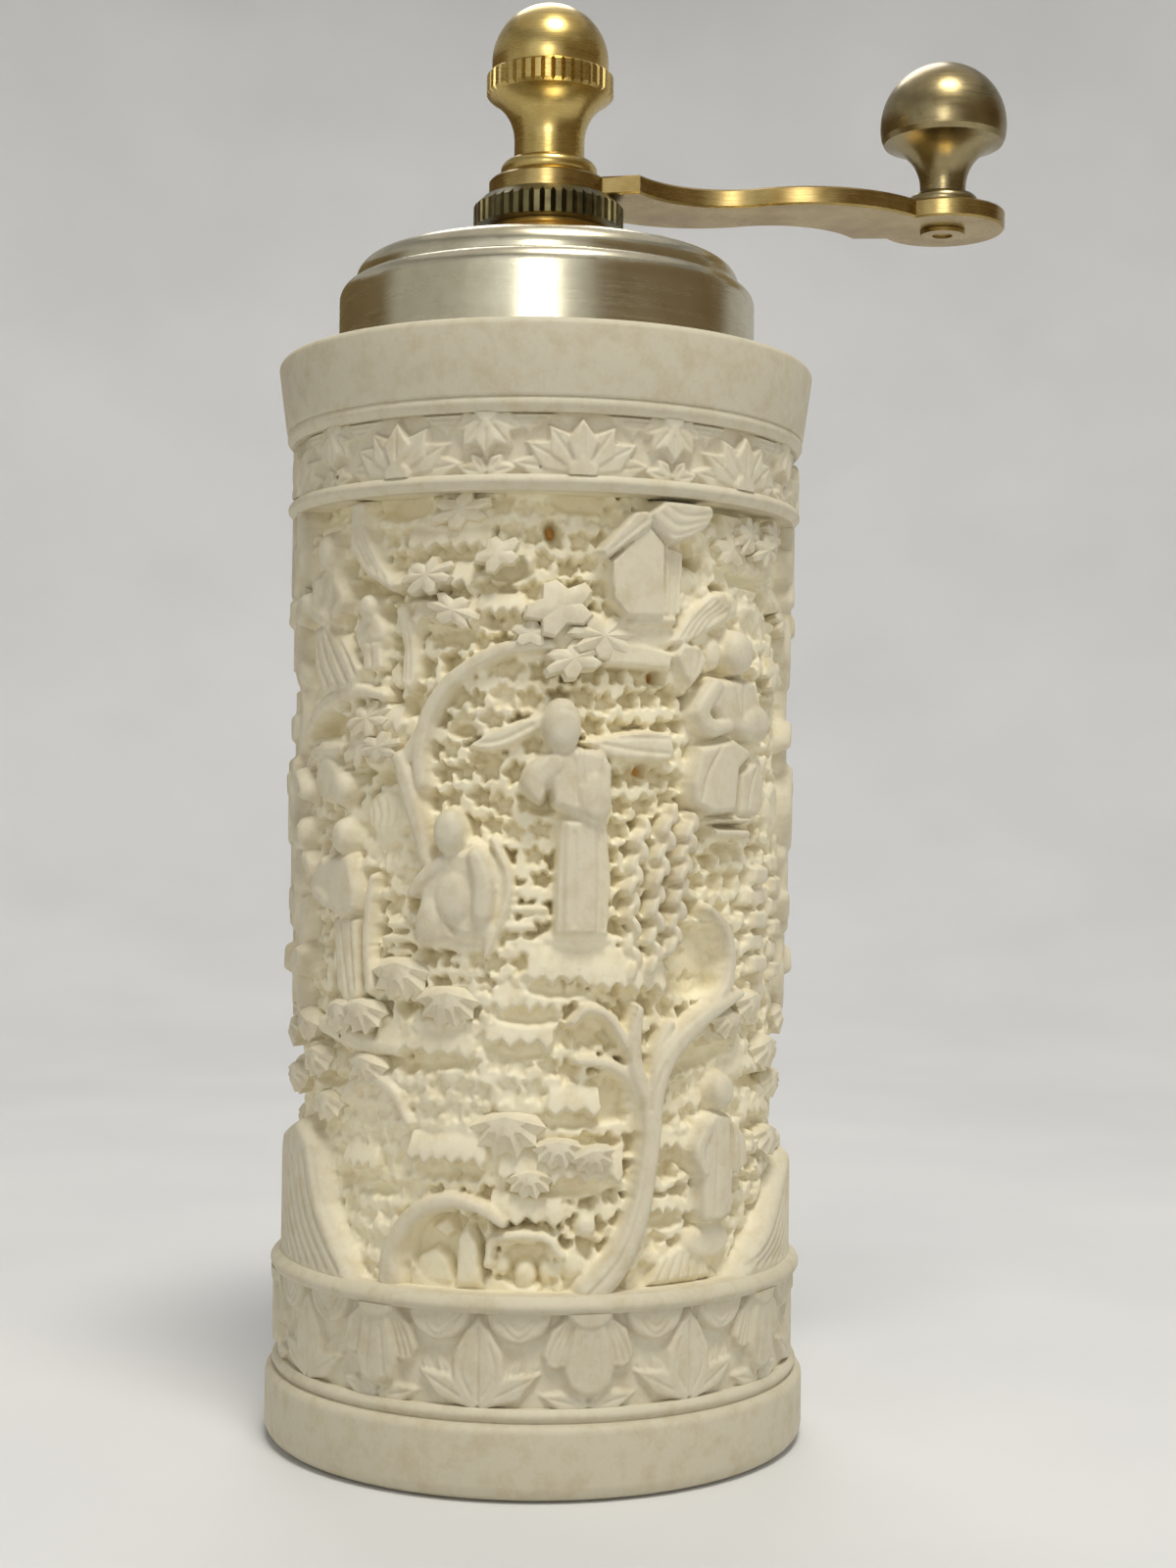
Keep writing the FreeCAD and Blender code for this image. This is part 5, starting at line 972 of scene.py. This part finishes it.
def watcher(field):
    """A seated figure on stone steps, turned a little to the left."""
    field.blob(17.4, 72.0, 1.3, 1.7, 2.9)
    field.face([(17.2, 69.8), (22.6, 70.0), (24.4, 67.4), (22.6, 64.5), (18.4, 65.2), (16.4, 67.2)],
               3.6, 1.0, 1.8)
    field.limb([(17.0, 69.0, 0.9), (15.3, 66.7, 1.0), (16.6, 65.4, 0.9), (18.6, 65.6, 0.7)], 3.8)
    field.blob(23.0, 66.0, 2.9, 1.9, 4.0, foot=2.8)
    lines(field, [[(19.4, 69.8), (20.0, 67.6), (20.6, 65.8)], [(20.8, 69.9), (20.6, 68.4), (20.8, 66.4)],
                  [(22.2, 69.2), (23.6, 67.8), (25.0, 66.6)]])
    field.face([(14.0, 60.6), (15.0, 63.8), (19.4, 64.7), (22.8, 63.5), (20.4, 61.7), (19.9, 57.8),
                (16.4, 57.6), (14.4, 58.6)], 3.7, 0.9, 1.8)
    field.face([(20.3, 61.6), (23.2, 62.9), (25.2, 61.0), (24.2, 57.6), (20.3, 57.6)], 3.5, 0.8, 1.8)
    lines(field, [[(15.2, 59.0), (15.9, 61.4), (17.6, 63.8)], [(21.8, 58.2), (22.2, 60.2), (23.0, 61.8)]])
    field.face([(16.6, 57.0), (22.6, 57.0), (22.6, 57.7), (16.8, 57.6)], 3.4, 0.25, 1.6)
    field.face([(17.2, 55.8), (22.6, 55.7), (22.6, 56.6), (17.0, 56.7)], 3.3, 0.25, 1.6)
    hollow(field, 20.2, 54.9, 2.4, 0.6, 0.4)
    field.blob(20.2, 72.1, 1.85, 2.1, 4.25, foot=2.6)


def middle_tier(field):
    """Middle of the scene: a standing and a seated figure, willow, rock ledges and stacked stones."""
    # Hollows, piercings, a bush and rock ledges
    for u, z, across, up in ((-17.4, 52.3, 1.6, 0.5), (-22.6, 56.9, 1.2, 1.0), (-15.6, 60.6, 1.8, 0.6),
                             (0.2, 58.2, 1.6, 0.7), (4.8, 43.1, 0.9, 0.6), (7.4, 42.3, 1.1, 0.5),
                             (-23.0, 46.6, 0.9, 0.9), (-22.8, 41.6, 1.4, 0.5)):
        hollow(field, u, z, across, up, 0.6)
    for u, z, size in ((15.3, 53.1, 0.7), (15.6, 49.8, 0.5), (-22.3, 42.0, 0.6)):
        pierced(field, u, z, size)
    field.blob(-15.4, 57.6, 3.0, 2.2, 2.6, 1.4)
    combed(field, [(-17.8, 59.0), (-17.0, 57.4), (-17.4, 56.0)],
           [(-13.2, 59.0), (-13.4, 57.4), (-14.0, 55.8)], 5)
    for k, (u, z, wide) in enumerate(((-1.6, 51.2, 3.6), (-1.0, 49.6, 4.0), (-1.8, 48.1, 3.4),
                                      (-1.4, 46.7, 4.2), (-7.4, 45.2, 2.6), (-7.0, 44.1, 3.8),
                                      (-6.4, 43.0, 4.4), (-14.0, 48.0, 3.2), (-14.2, 46.8, 3.8),
                                      (-14.0, 45.7, 3.4))):
        field.face([(u - wide / 2, z - 0.45), (u, z - 0.6), (u + wide / 2, z - 0.4),
                    (u + wide / 2 - 0.3, z + 0.35), (u, z + 0.45), (u - wide / 2 + 0.3, z + 0.3)],
                   2.25 + 0.15 * (k % 3), 0.4, 1.3)
    # The two middle figures
    standing_figure(field, 3.55, 47.2, 19.8)
    seated_figure(field, -7.5, 46.0, 12.0)
    # Figures at the left, under a long leaf
    field.blob(-20.6, 59.7, 1.5, 1.7, 4.0, foot=2.4)
    field.blob(-23.6, 60.6, 2.6, 2.3, 3.3, 1.2)
    field.face([(-29.5, 62.8), (-25.8, 62.2), (-20.8, 62.6), (-20.4, 63.8), (-25.0, 64.0)], 3.3, 0.5, 1.8)
    combed(field, [(-28.4, 62.9), (-25.0, 62.8), (-21.2, 62.9)],
           [(-27.6, 63.4), (-25.0, 63.6), (-21.4, 63.5)], 2)
    field.face([(-23.2, 53.8), (-19.0, 54.2), (-17.9, 51.0), (-18.0, 48.8), (-20.8, 48.1), (-23.6, 49.2),
                (-24.4, 51.6)], 3.6, 1.0, 1.8)
    field.limb([(-23.0, 53.0, 0.8), (-24.6, 51.0, 0.9), (-22.8, 49.8, 0.8)], 3.9)
    field.face([(-22.2, 48.5), (-18.3, 48.5), (-17.8, 41.4), (-19.4, 39.8), (-21.4, 42.0)], 3.2, 0.7, 1.4)
    lines(field, [[(-20.8, 48.0), (-20.2, 45.0), (-19.4, 41.6)],
                  [(-19.4, 48.0), (-19.0, 45.0), (-18.6, 42.2)]])
    field.blob(-20.3, 55.5, 1.35, 1.75, 4.1, foot=2.5)
    field.limb([(-16.8, 42.4, 0.75), (-17.3, 46.0, 0.6), (-17.0, 50.0, 0.6), (-16.6, 52.0, 0.4)], 3.1)
    standing_figure(field, -28.8, 43.4, 13.5, -1)
    # A bush and two stacks of stones at the right
    field.blob(31.0, 58.6, 3.4, 2.6, 2.7, 1.3)
    combed(field, [(28.4, 59.4), (30.0, 58.2), (30.4, 56.6)], [(32.4, 60.4), (33.0, 58.8), (32.8, 57.0)], 4)
    for u, low, high, wide, top in ((25.3, 43.4, 53.4, 3.3, 3.1), (30.6, 42.6, 54.4, 3.6, 3.2)):
        count = round((high - low) / 1.9)
        for k in range(count):
            z = low + (high - low) * (k + 0.5) / count
            rise = 0.43 * (high - low) / count
            lean = 0.25 * (-1) ** k
            field.face([(u - wide / 2 + lean, z - rise), (u + wide / 2 + lean, z - rise),
                        (u + wide / 2 + lean, z + rise), (u - wide / 2 + lean, z + rise)],
                       top - 0.3 * (k % 2), 0.35, 1.6)
    # Skirts of leaves, and the willow's strings over them
    for skirt in ((-4.0, 2.4, 43.6, 40.4, 5, 2.6), (-1.2, 5.2, 46.8, 42.8, 4, 2.8),
                  (4.4, 10.0, 46.4, 42.2, 4, 2.8), (8.6, 12.4, 46.0, 42.0, 3, 2.8)):
        fringe(field, *skirt)
    for points, top in (([(9.8, 56.6), (8.7, 50.4), (9.0, 43.0)], 3.0),
                        ([(12.4, 57.8), (11.1, 51.0), (10.7, 43.4)], 3.4),
                        ([(14.6, 57.2), (13.4, 51.6), (12.4, 45.2)], 3.6)):
        willow(field, points, top)


def willow(field, points, top):
    """A hanging string of almond-shaped leaves that point left and right in turn."""
    leaf = 1.05
    path = smooth_path(points)
    for k, (a, b) in enumerate(zip(path, path[1:])):
        along = math.atan2(b[1] - a[1], b[0] - a[0])
        side = (-1) ** k
        field.blob(a[0] - side * math.sin(along) * leaf * 0.32, a[1] + side * math.cos(along) * leaf * 0.32,
                   leaf, leaf * 0.52, top + 0.2 * (k % 3) - 0.3, leaf * 0.4, along + 0.35 * side, top - 1.2)


def low_tier(field):
    """Lower part of the scene: a forked tree, pine banks, arches over hollows, a walker and swept rocks."""
    # Hollows, a piercing, mounds and skirts of needles
    for u, z, across, up in ((5.4, 39.2, 2.0, 1.3), (6.2, 33.4, 2.3, 2.2), (12.9, 28.5, 1.6, 0.8),
                             (12.2, 22.8, 2.4, 0.9), (15.8, 45.0, 2.9, 3.4), (-9.6, 41.9, 1.4, 0.5),
                             (-12.4, 35.6, 1.2, 0.5), (-1.9, 40.4, 1.0, 0.6), (-4.0, 38.0, 1.2, 0.5),
                             (-16.2, 24.7, 2.4, 0.6), (15.6, 36.6, 2.6, 1.0), (24.6, 26.6, 1.6, 0.7),
                             (-25.0, 37.2, 2.2, 0.6)):
        hollow(field, u, z, across, up, 0.9)
    pierced(field, -13.1, 37.0, 0.6)
    field.blob(-3.0, 29.0, 7.6, 2.6, 2.1, 1.6)
    field.blob(2.6, 26.6, 5.6, 2.0, 2.2, 1.4)
    field.blob(-9.6, 38.6, 6.0, 2.4, 2.2, 1.4)
    for skirt in ((-16.4, -5.6, 39.6, 36.4, 6, 3.0), (-5.0, 1.6, 40.6, 37.4, 4, 3.0),
                  (0.8, 6.0, 34.6, 31.6, 3, 2.9), (-4.4, 2.6, 25.8, 22.3, 4, 2.8),
                  (-3.6, 8.2, 29.4, 25.9, 8, 3.0), (-12.4, -4.4, 30.5, 27.2, 6, 3.2),
                  (13.0, 21.6, 40.0, 37.3, 5, 3.0), (11.3, 14.8, 30.8, 28.2, 3, 2.7),
                  (10.6, 14.8, 24.8, 22.7, 4, 2.7), (21.5, 29.0, 36.8, 34.2, 5, 2.9),
                  (22.6, 30.0, 32.6, 30.2, 5, 2.8), (-28.0, -20.6, 36.6, 34.0, 5, 2.9),
                  (-20.8, -15.8, 28.6, 26.0, 4, 2.9)):
        fringe(field, *skirt)
    # Branches at the left, and a small arch over stones
    field.limb([(-25.0, 38.6, 0.9), (-21.6, 38.2, 1.1), (-17.6, 37.4, 1.0), (-13.6, 37.3, 0.7)], 2.9)
    field.limb([(-20.4, 32.4, 0.5), (-18.6, 33.9, 0.65), (-16.0, 34.4, 0.65), (-13.8, 33.3, 0.6),
                (-12.2, 31.0, 0.5)], 3.0)
    field.limb([(-4.4, 19.4, 0.5), (-3.9, 21.3, 0.5), (-1.6, 21.9, 0.5), (1.0, 21.6, 0.5),
                (2.3, 20.2, 0.5)], 2.8)
    hollow(field, -1.0, 19.2, 2.7, 2.0, 0.7)
    for u, z, across, up, top in ((-3.1, 19.2, 0.8, 1.0, 2.0), (-0.9, 18.4, 1.1, 1.4, 2.2),
                                  (1.0, 18.8, 0.7, 1.1, 2.0), (4.6, 22.6, 1.05, 1.05, 3.0),
                                  (3.4, 19.4, 1.3, 1.5, 2.4)):
        field.blob(u, z, across, up, top)
    # The large arch, with rocks in its hollow
    hollow(field, -8.4, 20.4, 3.9, 3.2, 0.7)
    field.face([(-12.2, 17.2), (-11.6, 19.6), (-9.6, 20.6), (-8.2, 19.6), (-7.4, 17.2)], 2.0, 0.8, 1.0)
    field.face([(-7.6, 17.2), (-7.4, 21.4), (-6.4, 23.0), (-5.2, 21.0), (-4.8, 17.2)], 2.4, 0.7, 1.1)
    field.face([(-10.4, 22.0), (-8.4, 23.2), (-7.4, 22.0), (-8.6, 21.2)], 1.8, 0.5, 1.0)
    field.limb([(-14.0, 17.4, 1.4), (-13.7, 20.0, 1.15), (-12.1, 22.6, 0.9), (-9.8, 24.1, 0.8),
                (-7.4, 24.6, 0.7), (-5.0, 24.1, 0.6), (-3.0, 22.9, 0.5)], 3.4)
    rocks(field)
    # The forked tree
    field.limb([(9.6, 33.4, 0.8), (8.4, 35.3, 0.65), (6.4, 36.4, 0.55), (3.6, 36.7, 0.45)], 3.0)
    field.limb([(9.2, 36.2, 0.65), (7.8, 38.6, 0.55), (6.2, 40.6, 0.5), (4.4, 41.1, 0.45),
                (3.1, 40.0, 0.4)], 3.1)
    field.limb([(10.3, 33.4, 1.0), (9.1, 35.8, 0.85), (8.8, 38.2, 0.75), (9.2, 41.2, 0.5)], 3.5)
    field.limb([(11.0, 35.6, 0.8), (11.6, 37.8, 0.75), (12.6, 39.6, 0.6)], 3.1)
    field.limb([(17.4, 40.8, 0.8), (19.3, 42.9, 0.75), (19.7, 45.6, 0.7), (18.8, 47.9, 0.65),
                (16.6, 49.6, 0.5)], 3.5)
    trunk = [(5.0, 17.0, 1.6), (7.3, 19.4, 1.4), (9.0, 22.6, 1.2), (10.0, 26.6, 1.05), (10.5, 30.5, 1.0),
             (10.7, 33.6, 1.15), (11.8, 36.4, 1.0), (13.8, 38.6, 0.9), (16.8, 40.5, 0.8), (20.8, 42.0, 0.5)]
    field.limb(trunk, 3.8)
    lines(field, [[(u - 0.25 * w, z) for u, z, w in trunk[:7]], [(10.2, 32.4), (10.2, 34.4), (9.2, 37.0)]],
          0.2, 0.26)
    # A walker at the right
    field.blob(17.6, 20.4, 3.4, 1.8, 2.9, 1.2)
    field.face([(15.9, 31.0), (17.3, 32.0), (19.7, 31.6), (20.2, 27.0), (20.0, 22.6), (18.0, 22.0),
                (15.9, 22.2), (15.6, 26.0)], 3.7, 0.9, 1.8)
    field.face([(19.8, 31.4), (22.3, 29.4), (22.7, 26.6), (20.1, 25.8)], 3.5, 0.7, 2.0)
    field.limb([(16.4, 30.6, 0.7), (15.4, 28.6, 0.75), (16.0, 26.8, 0.6)], 3.9)
    lines(field, [[(17.4, 31.2), (17.6, 28.0), (17.4, 23.0)], [(19.4, 30.8), (19.5, 27.0), (19.2, 23.0)],
                  [(20.8, 30.2), (21.2, 28.4), (21.0, 26.6)]])
    field.blob(18.3, 33.6, 1.45, 1.8, 4.2, foot=2.6)


def rocks(field):
    """Swept and combed rocks at both lower sides."""
    field.face([(-40.0, 14.5), (-38.0, 24.0), (-33.0, 28.6), (-26.8, 30.4), (-23.6, 28.4), (-21.6, 23.0),
                (-15.0, 14.5)], 4.2, 1.6, 1.6)
    combed(field, [(-36.4, 24.4), (-34.6, 20.6), (-32.0, 17.6)],
           [(-24.2, 27.8), (-22.0, 22.6), (-17.4, 17.4)], 10, 0.2, 0.4)
    field.face([(17.0, 14.5), (21.6, 18.6), (25.4, 21.4), (29.0, 25.0), (34.0, 27.4), (39.0, 14.5)],
               4.2, 1.6, 1.6)
    combed(field, [(21.6, 17.8), (26.0, 19.8), (31.6, 24.8)], [(31.0, 17.4), (33.6, 18.8), (36.0, 21.4)],
           7, 0.2, 0.4)
    field.face([(10.4, 17.1), (11.8, 19.6), (14.4, 20.6), (17.4, 19.4), (18.6, 17.1)], 2.6, 0.9, 1.4)
    combed(field, [(11.6, 17.4), (12.4, 18.8), (13.2, 20.0)], [(16.4, 17.4), (16.4, 18.4), (16.2, 19.4)], 5)


def carved_wall():
    """The carved wall in five closed blocks; their joints stay away from the middle of the front."""
    seed, grid_step, blocks = 7, 0.15, 5
    draw = np.random.default_rng(seed)
    around = 2 * math.pi * CARVED_RADIUS
    field = Relief(SCENE_LOW, SCENE_HIGH, -0.25 * around, around, grid_step)
    ground(field, draw)
    for high, middle, low in ((0, 0, 0), (BACK_HIGH, BACK_MIDDLE, BACK_LOW)):
        field.shift = low
        low_tier(field)
        field.shift = middle
        middle_tier(field)
        field.shift = high
        high_tier(field)
        side_trees(field)
    field.soften()
    cuts = [round(field.columns * k / blocks) for k in range(blocks + 1)]
    return [shell("carved_wall_%d" % (k + 1), field, a, b, WALL_FLOOR, WALL_BACK)
            for k, (a, b) in enumerate(zip(cuts, cuts[1:]))]


# The camera, the floor and the light

def look_through():
    """The photograph's viewpoint: just left of the front, level with the middle of the wall."""
    distance, height = 210.7, 57.1
    focal_pixels, picture_pixels, sensor = 2260.0, 1600, 36
    data = bpy.data.cameras.new("camera")
    data.lens = focal_pixels * sensor / picture_pixels
    data.sensor_width = sensor
    data.clip_start, data.clip_end = 0.01, 10
    made = bpy.data.objects.new("camera", data)
    spot = Vector((distance * math.cos(FRONT), distance * math.sin(FRONT), height))
    level = Vector((-spot.x, -spot.y, 0)).to_track_quat("-Z", "Y").to_matrix().to_4x4()
    turn = Matrix.Rotation(math.radians(-1.21), 4, "Y")
    tilt = Matrix.Rotation(math.radians(0.96), 4, "X")
    roll = Matrix.Rotation(math.radians(0.72), 4, "Z")
    made.matrix_world = Matrix.Translation(spot * MM) @ level @ turn @ tilt @ roll
    bpy.context.collection.objects.link(made)
    bpy.context.scene.camera = made


def lamp(name, spot, target, size, watts, tone="#FFFFFF"):
    """A round soft lamp that the camera doesn't see; places and size are in metres."""
    data = bpy.data.lights.new(name, "AREA")
    data.shape = "DISK"
    data.size = size
    data.energy = watts
    data.color = linear(tone)[:3]
    made = bpy.data.objects.new(name, data)
    made.location = spot
    made.visible_camera = False
    made.rotation_euler = (Vector(target) - Vector(spot)).to_track_quat("-Z", "Y").to_euler()
    bpy.context.collection.objects.link(made)
    return made


def pale_paint():
    """Matt pale grey paint for the floor, with a faint unevenness."""
    made, tree, shader, place = new_material("matt_pale_paint")
    cloud_size = 60
    tone = add(tree, "ShaderNodeTexNoise", {"Vector": place, "Scale": 1 / cloud_size, "Detail": 2})
    colour = add(tree, "ShaderNodeValToRGB", {"Fac": tone.outputs["Fac"]},
                 [(0.3, "#DADADA"), (0.7, "#E2E1E0")])
    fill(tree, shader, {"Base Color": colour.outputs["Color"], "Roughness": 0.9})
    return made


def dark_card(name, first, last, radius, low, high):
    """A bowed brown card that only reflections show, between two angles from the camera's side."""
    panels = 12
    angles = [FRONT + math.radians(first + (last - first) * k / panels) for k in range(panels + 1)]
    points = [(radius * math.cos(a), radius * math.sin(a), z) for a in angles for z in (low, high)]
    faces = [(2 * k, 2 * k + 1, 2 * k + 3, 2 * k + 2) for k in range(panels)]
    paint = bpy.data.materials.new("brown_card")
    paint.use_nodes = True
    tree = paint.node_tree
    fill(tree, tree.nodes["Principled BSDF"], {"Base Color": linear("#75623F"), "Roughness": 0.9})
    card = new_piece(name, points, faces, paint)
    card.visible_camera = False
    card.visible_diffuse = False
    card.visible_shadow = False


def studio():
    """A pale floor that sweeps up all round, soft lamps above, and a plain world."""
    flat, sweep, wall_top, gap = 300, 400, 900, 0.02
    outline = [(0.001, 0.0), (flat, 0.0)]
    outline += [(flat + sweep * math.sin(a), sweep - sweep * math.cos(a))
                for a in np.linspace(0.05, math.pi / 2, 14)]
    outline.append((flat + sweep, wall_top))
    steps = 96
    angles = np.linspace(0, 2 * math.pi, steps, endpoint=False)
    points = [(r * math.cos(a), r * math.sin(a), z - gap) for r, z in outline for a in angles]
    faces = [(k * steps + j, (k + 1) * steps + j, (k + 1) * steps + (j + 1) % steps,
              k * steps + (j + 1) % steps) for k in range(len(outline) - 1) for j in range(steps)]
    new_piece("studio_floor", points, faces, pale_paint(), crease=60)
    world = bpy.data.worlds.new("studio_world")
    world.use_nodes = True
    tree = world.node_tree
    plain = tree.nodes["Background"]
    fill(tree, plain, {"Color": linear("#D2D5DA"), "Strength": 0.10})
    # The camera and reflections see a plain backdrop, brighter than the light that the world gives
    seen = add(tree, "ShaderNodeBackground", {"Color": linear("#C9C6C4"), "Strength": 1.0})
    path = add(tree, "ShaderNodeLightPath")
    either = add(tree, "ShaderNodeMath", {0: path.outputs["Is Camera Ray"], 1: path.outputs["Is Glossy Ray"]},
                 operation="MAXIMUM")
    direct = add(tree, "ShaderNodeMath", {0: either.outputs["Value"], 1: path.outputs["Is Transmission Ray"]},
                 operation="MAXIMUM")
    blend = add(tree, "ShaderNodeMixShader", {"Fac": direct.outputs["Value"], 1: plain.outputs["Background"],
                                              2: seen.outputs["Background"]})
    fill(tree, tree.nodes["World Output"], {"Surface": blend.outputs["Shader"]})
    bpy.context.scene.world = world
    dark_card("right_card", 24, 112, 450, -60, 420)
    dark_card("left_card", -172, -92, 450, -60, 300)
    lamp("key_lamp", (0.02, -0.27, 0.66), (0, 0, 0.05), 0.22, 3.05, "#FCFAF2")
    lamp("window_lamp", (-0.36, -0.50, 0.24), (0, 0, 0.07), 0.46, 0.22, "#EEF4FF")
    lamp("fill_lamp", (0.38, -0.42, 0.30), (0, 0, 0.06), 0.40, 0.26, "#ECF3FF")
    # A lamp for the bright streak on the metal alone
    glare = lamp("glare_lamp", (-0.125, -0.44, 0.20), (0, 0, 0.10), 0.15, 0.35)
    glare.visible_diffuse = False
    lamp("back_lamp", (0.05, 0.42, 0.62), (0, 0, 0.06), 0.34, 1.15)


# Finish of the nodes that keep their CAD shape
for node_name, slot_name in ((s["node"], s["material_slot"]) for s in frame["record"]["subparts"]):
    if slot_name in FINISHES:
        mesh = frame["nodes"][node_name].data
        mesh.materials.clear()
        mesh.materials.append(knob_plate if node_name == "crank_knob" else FINISHES[slot_name])

body_pieces = [make_lower_body(), make_upper_body(), lotus_band(), blossom_band(), *carved_wall(),
               place_all("maple_leaves_wide", maple_leaf(6, 0.58), MAPLE_LEAVES[0::3]),
               place_all("maple_leaves_round", maple_leaf(5, 0.74), MAPLE_LEAVES[1::3]),
               place_all("maple_leaves_cut", maple_leaf(7, 0.64), MAPLE_LEAVES[2::3]),
               place_all("pine_fans", pine_fan(), PINE_FANS)]
for piece in body_pieces:
    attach(piece, "mill")
    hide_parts("carved_body")

look_through()
studio()
bpy.context.scene.view_settings.view_transform = "Standard"
bpy.context.view_layer.update()
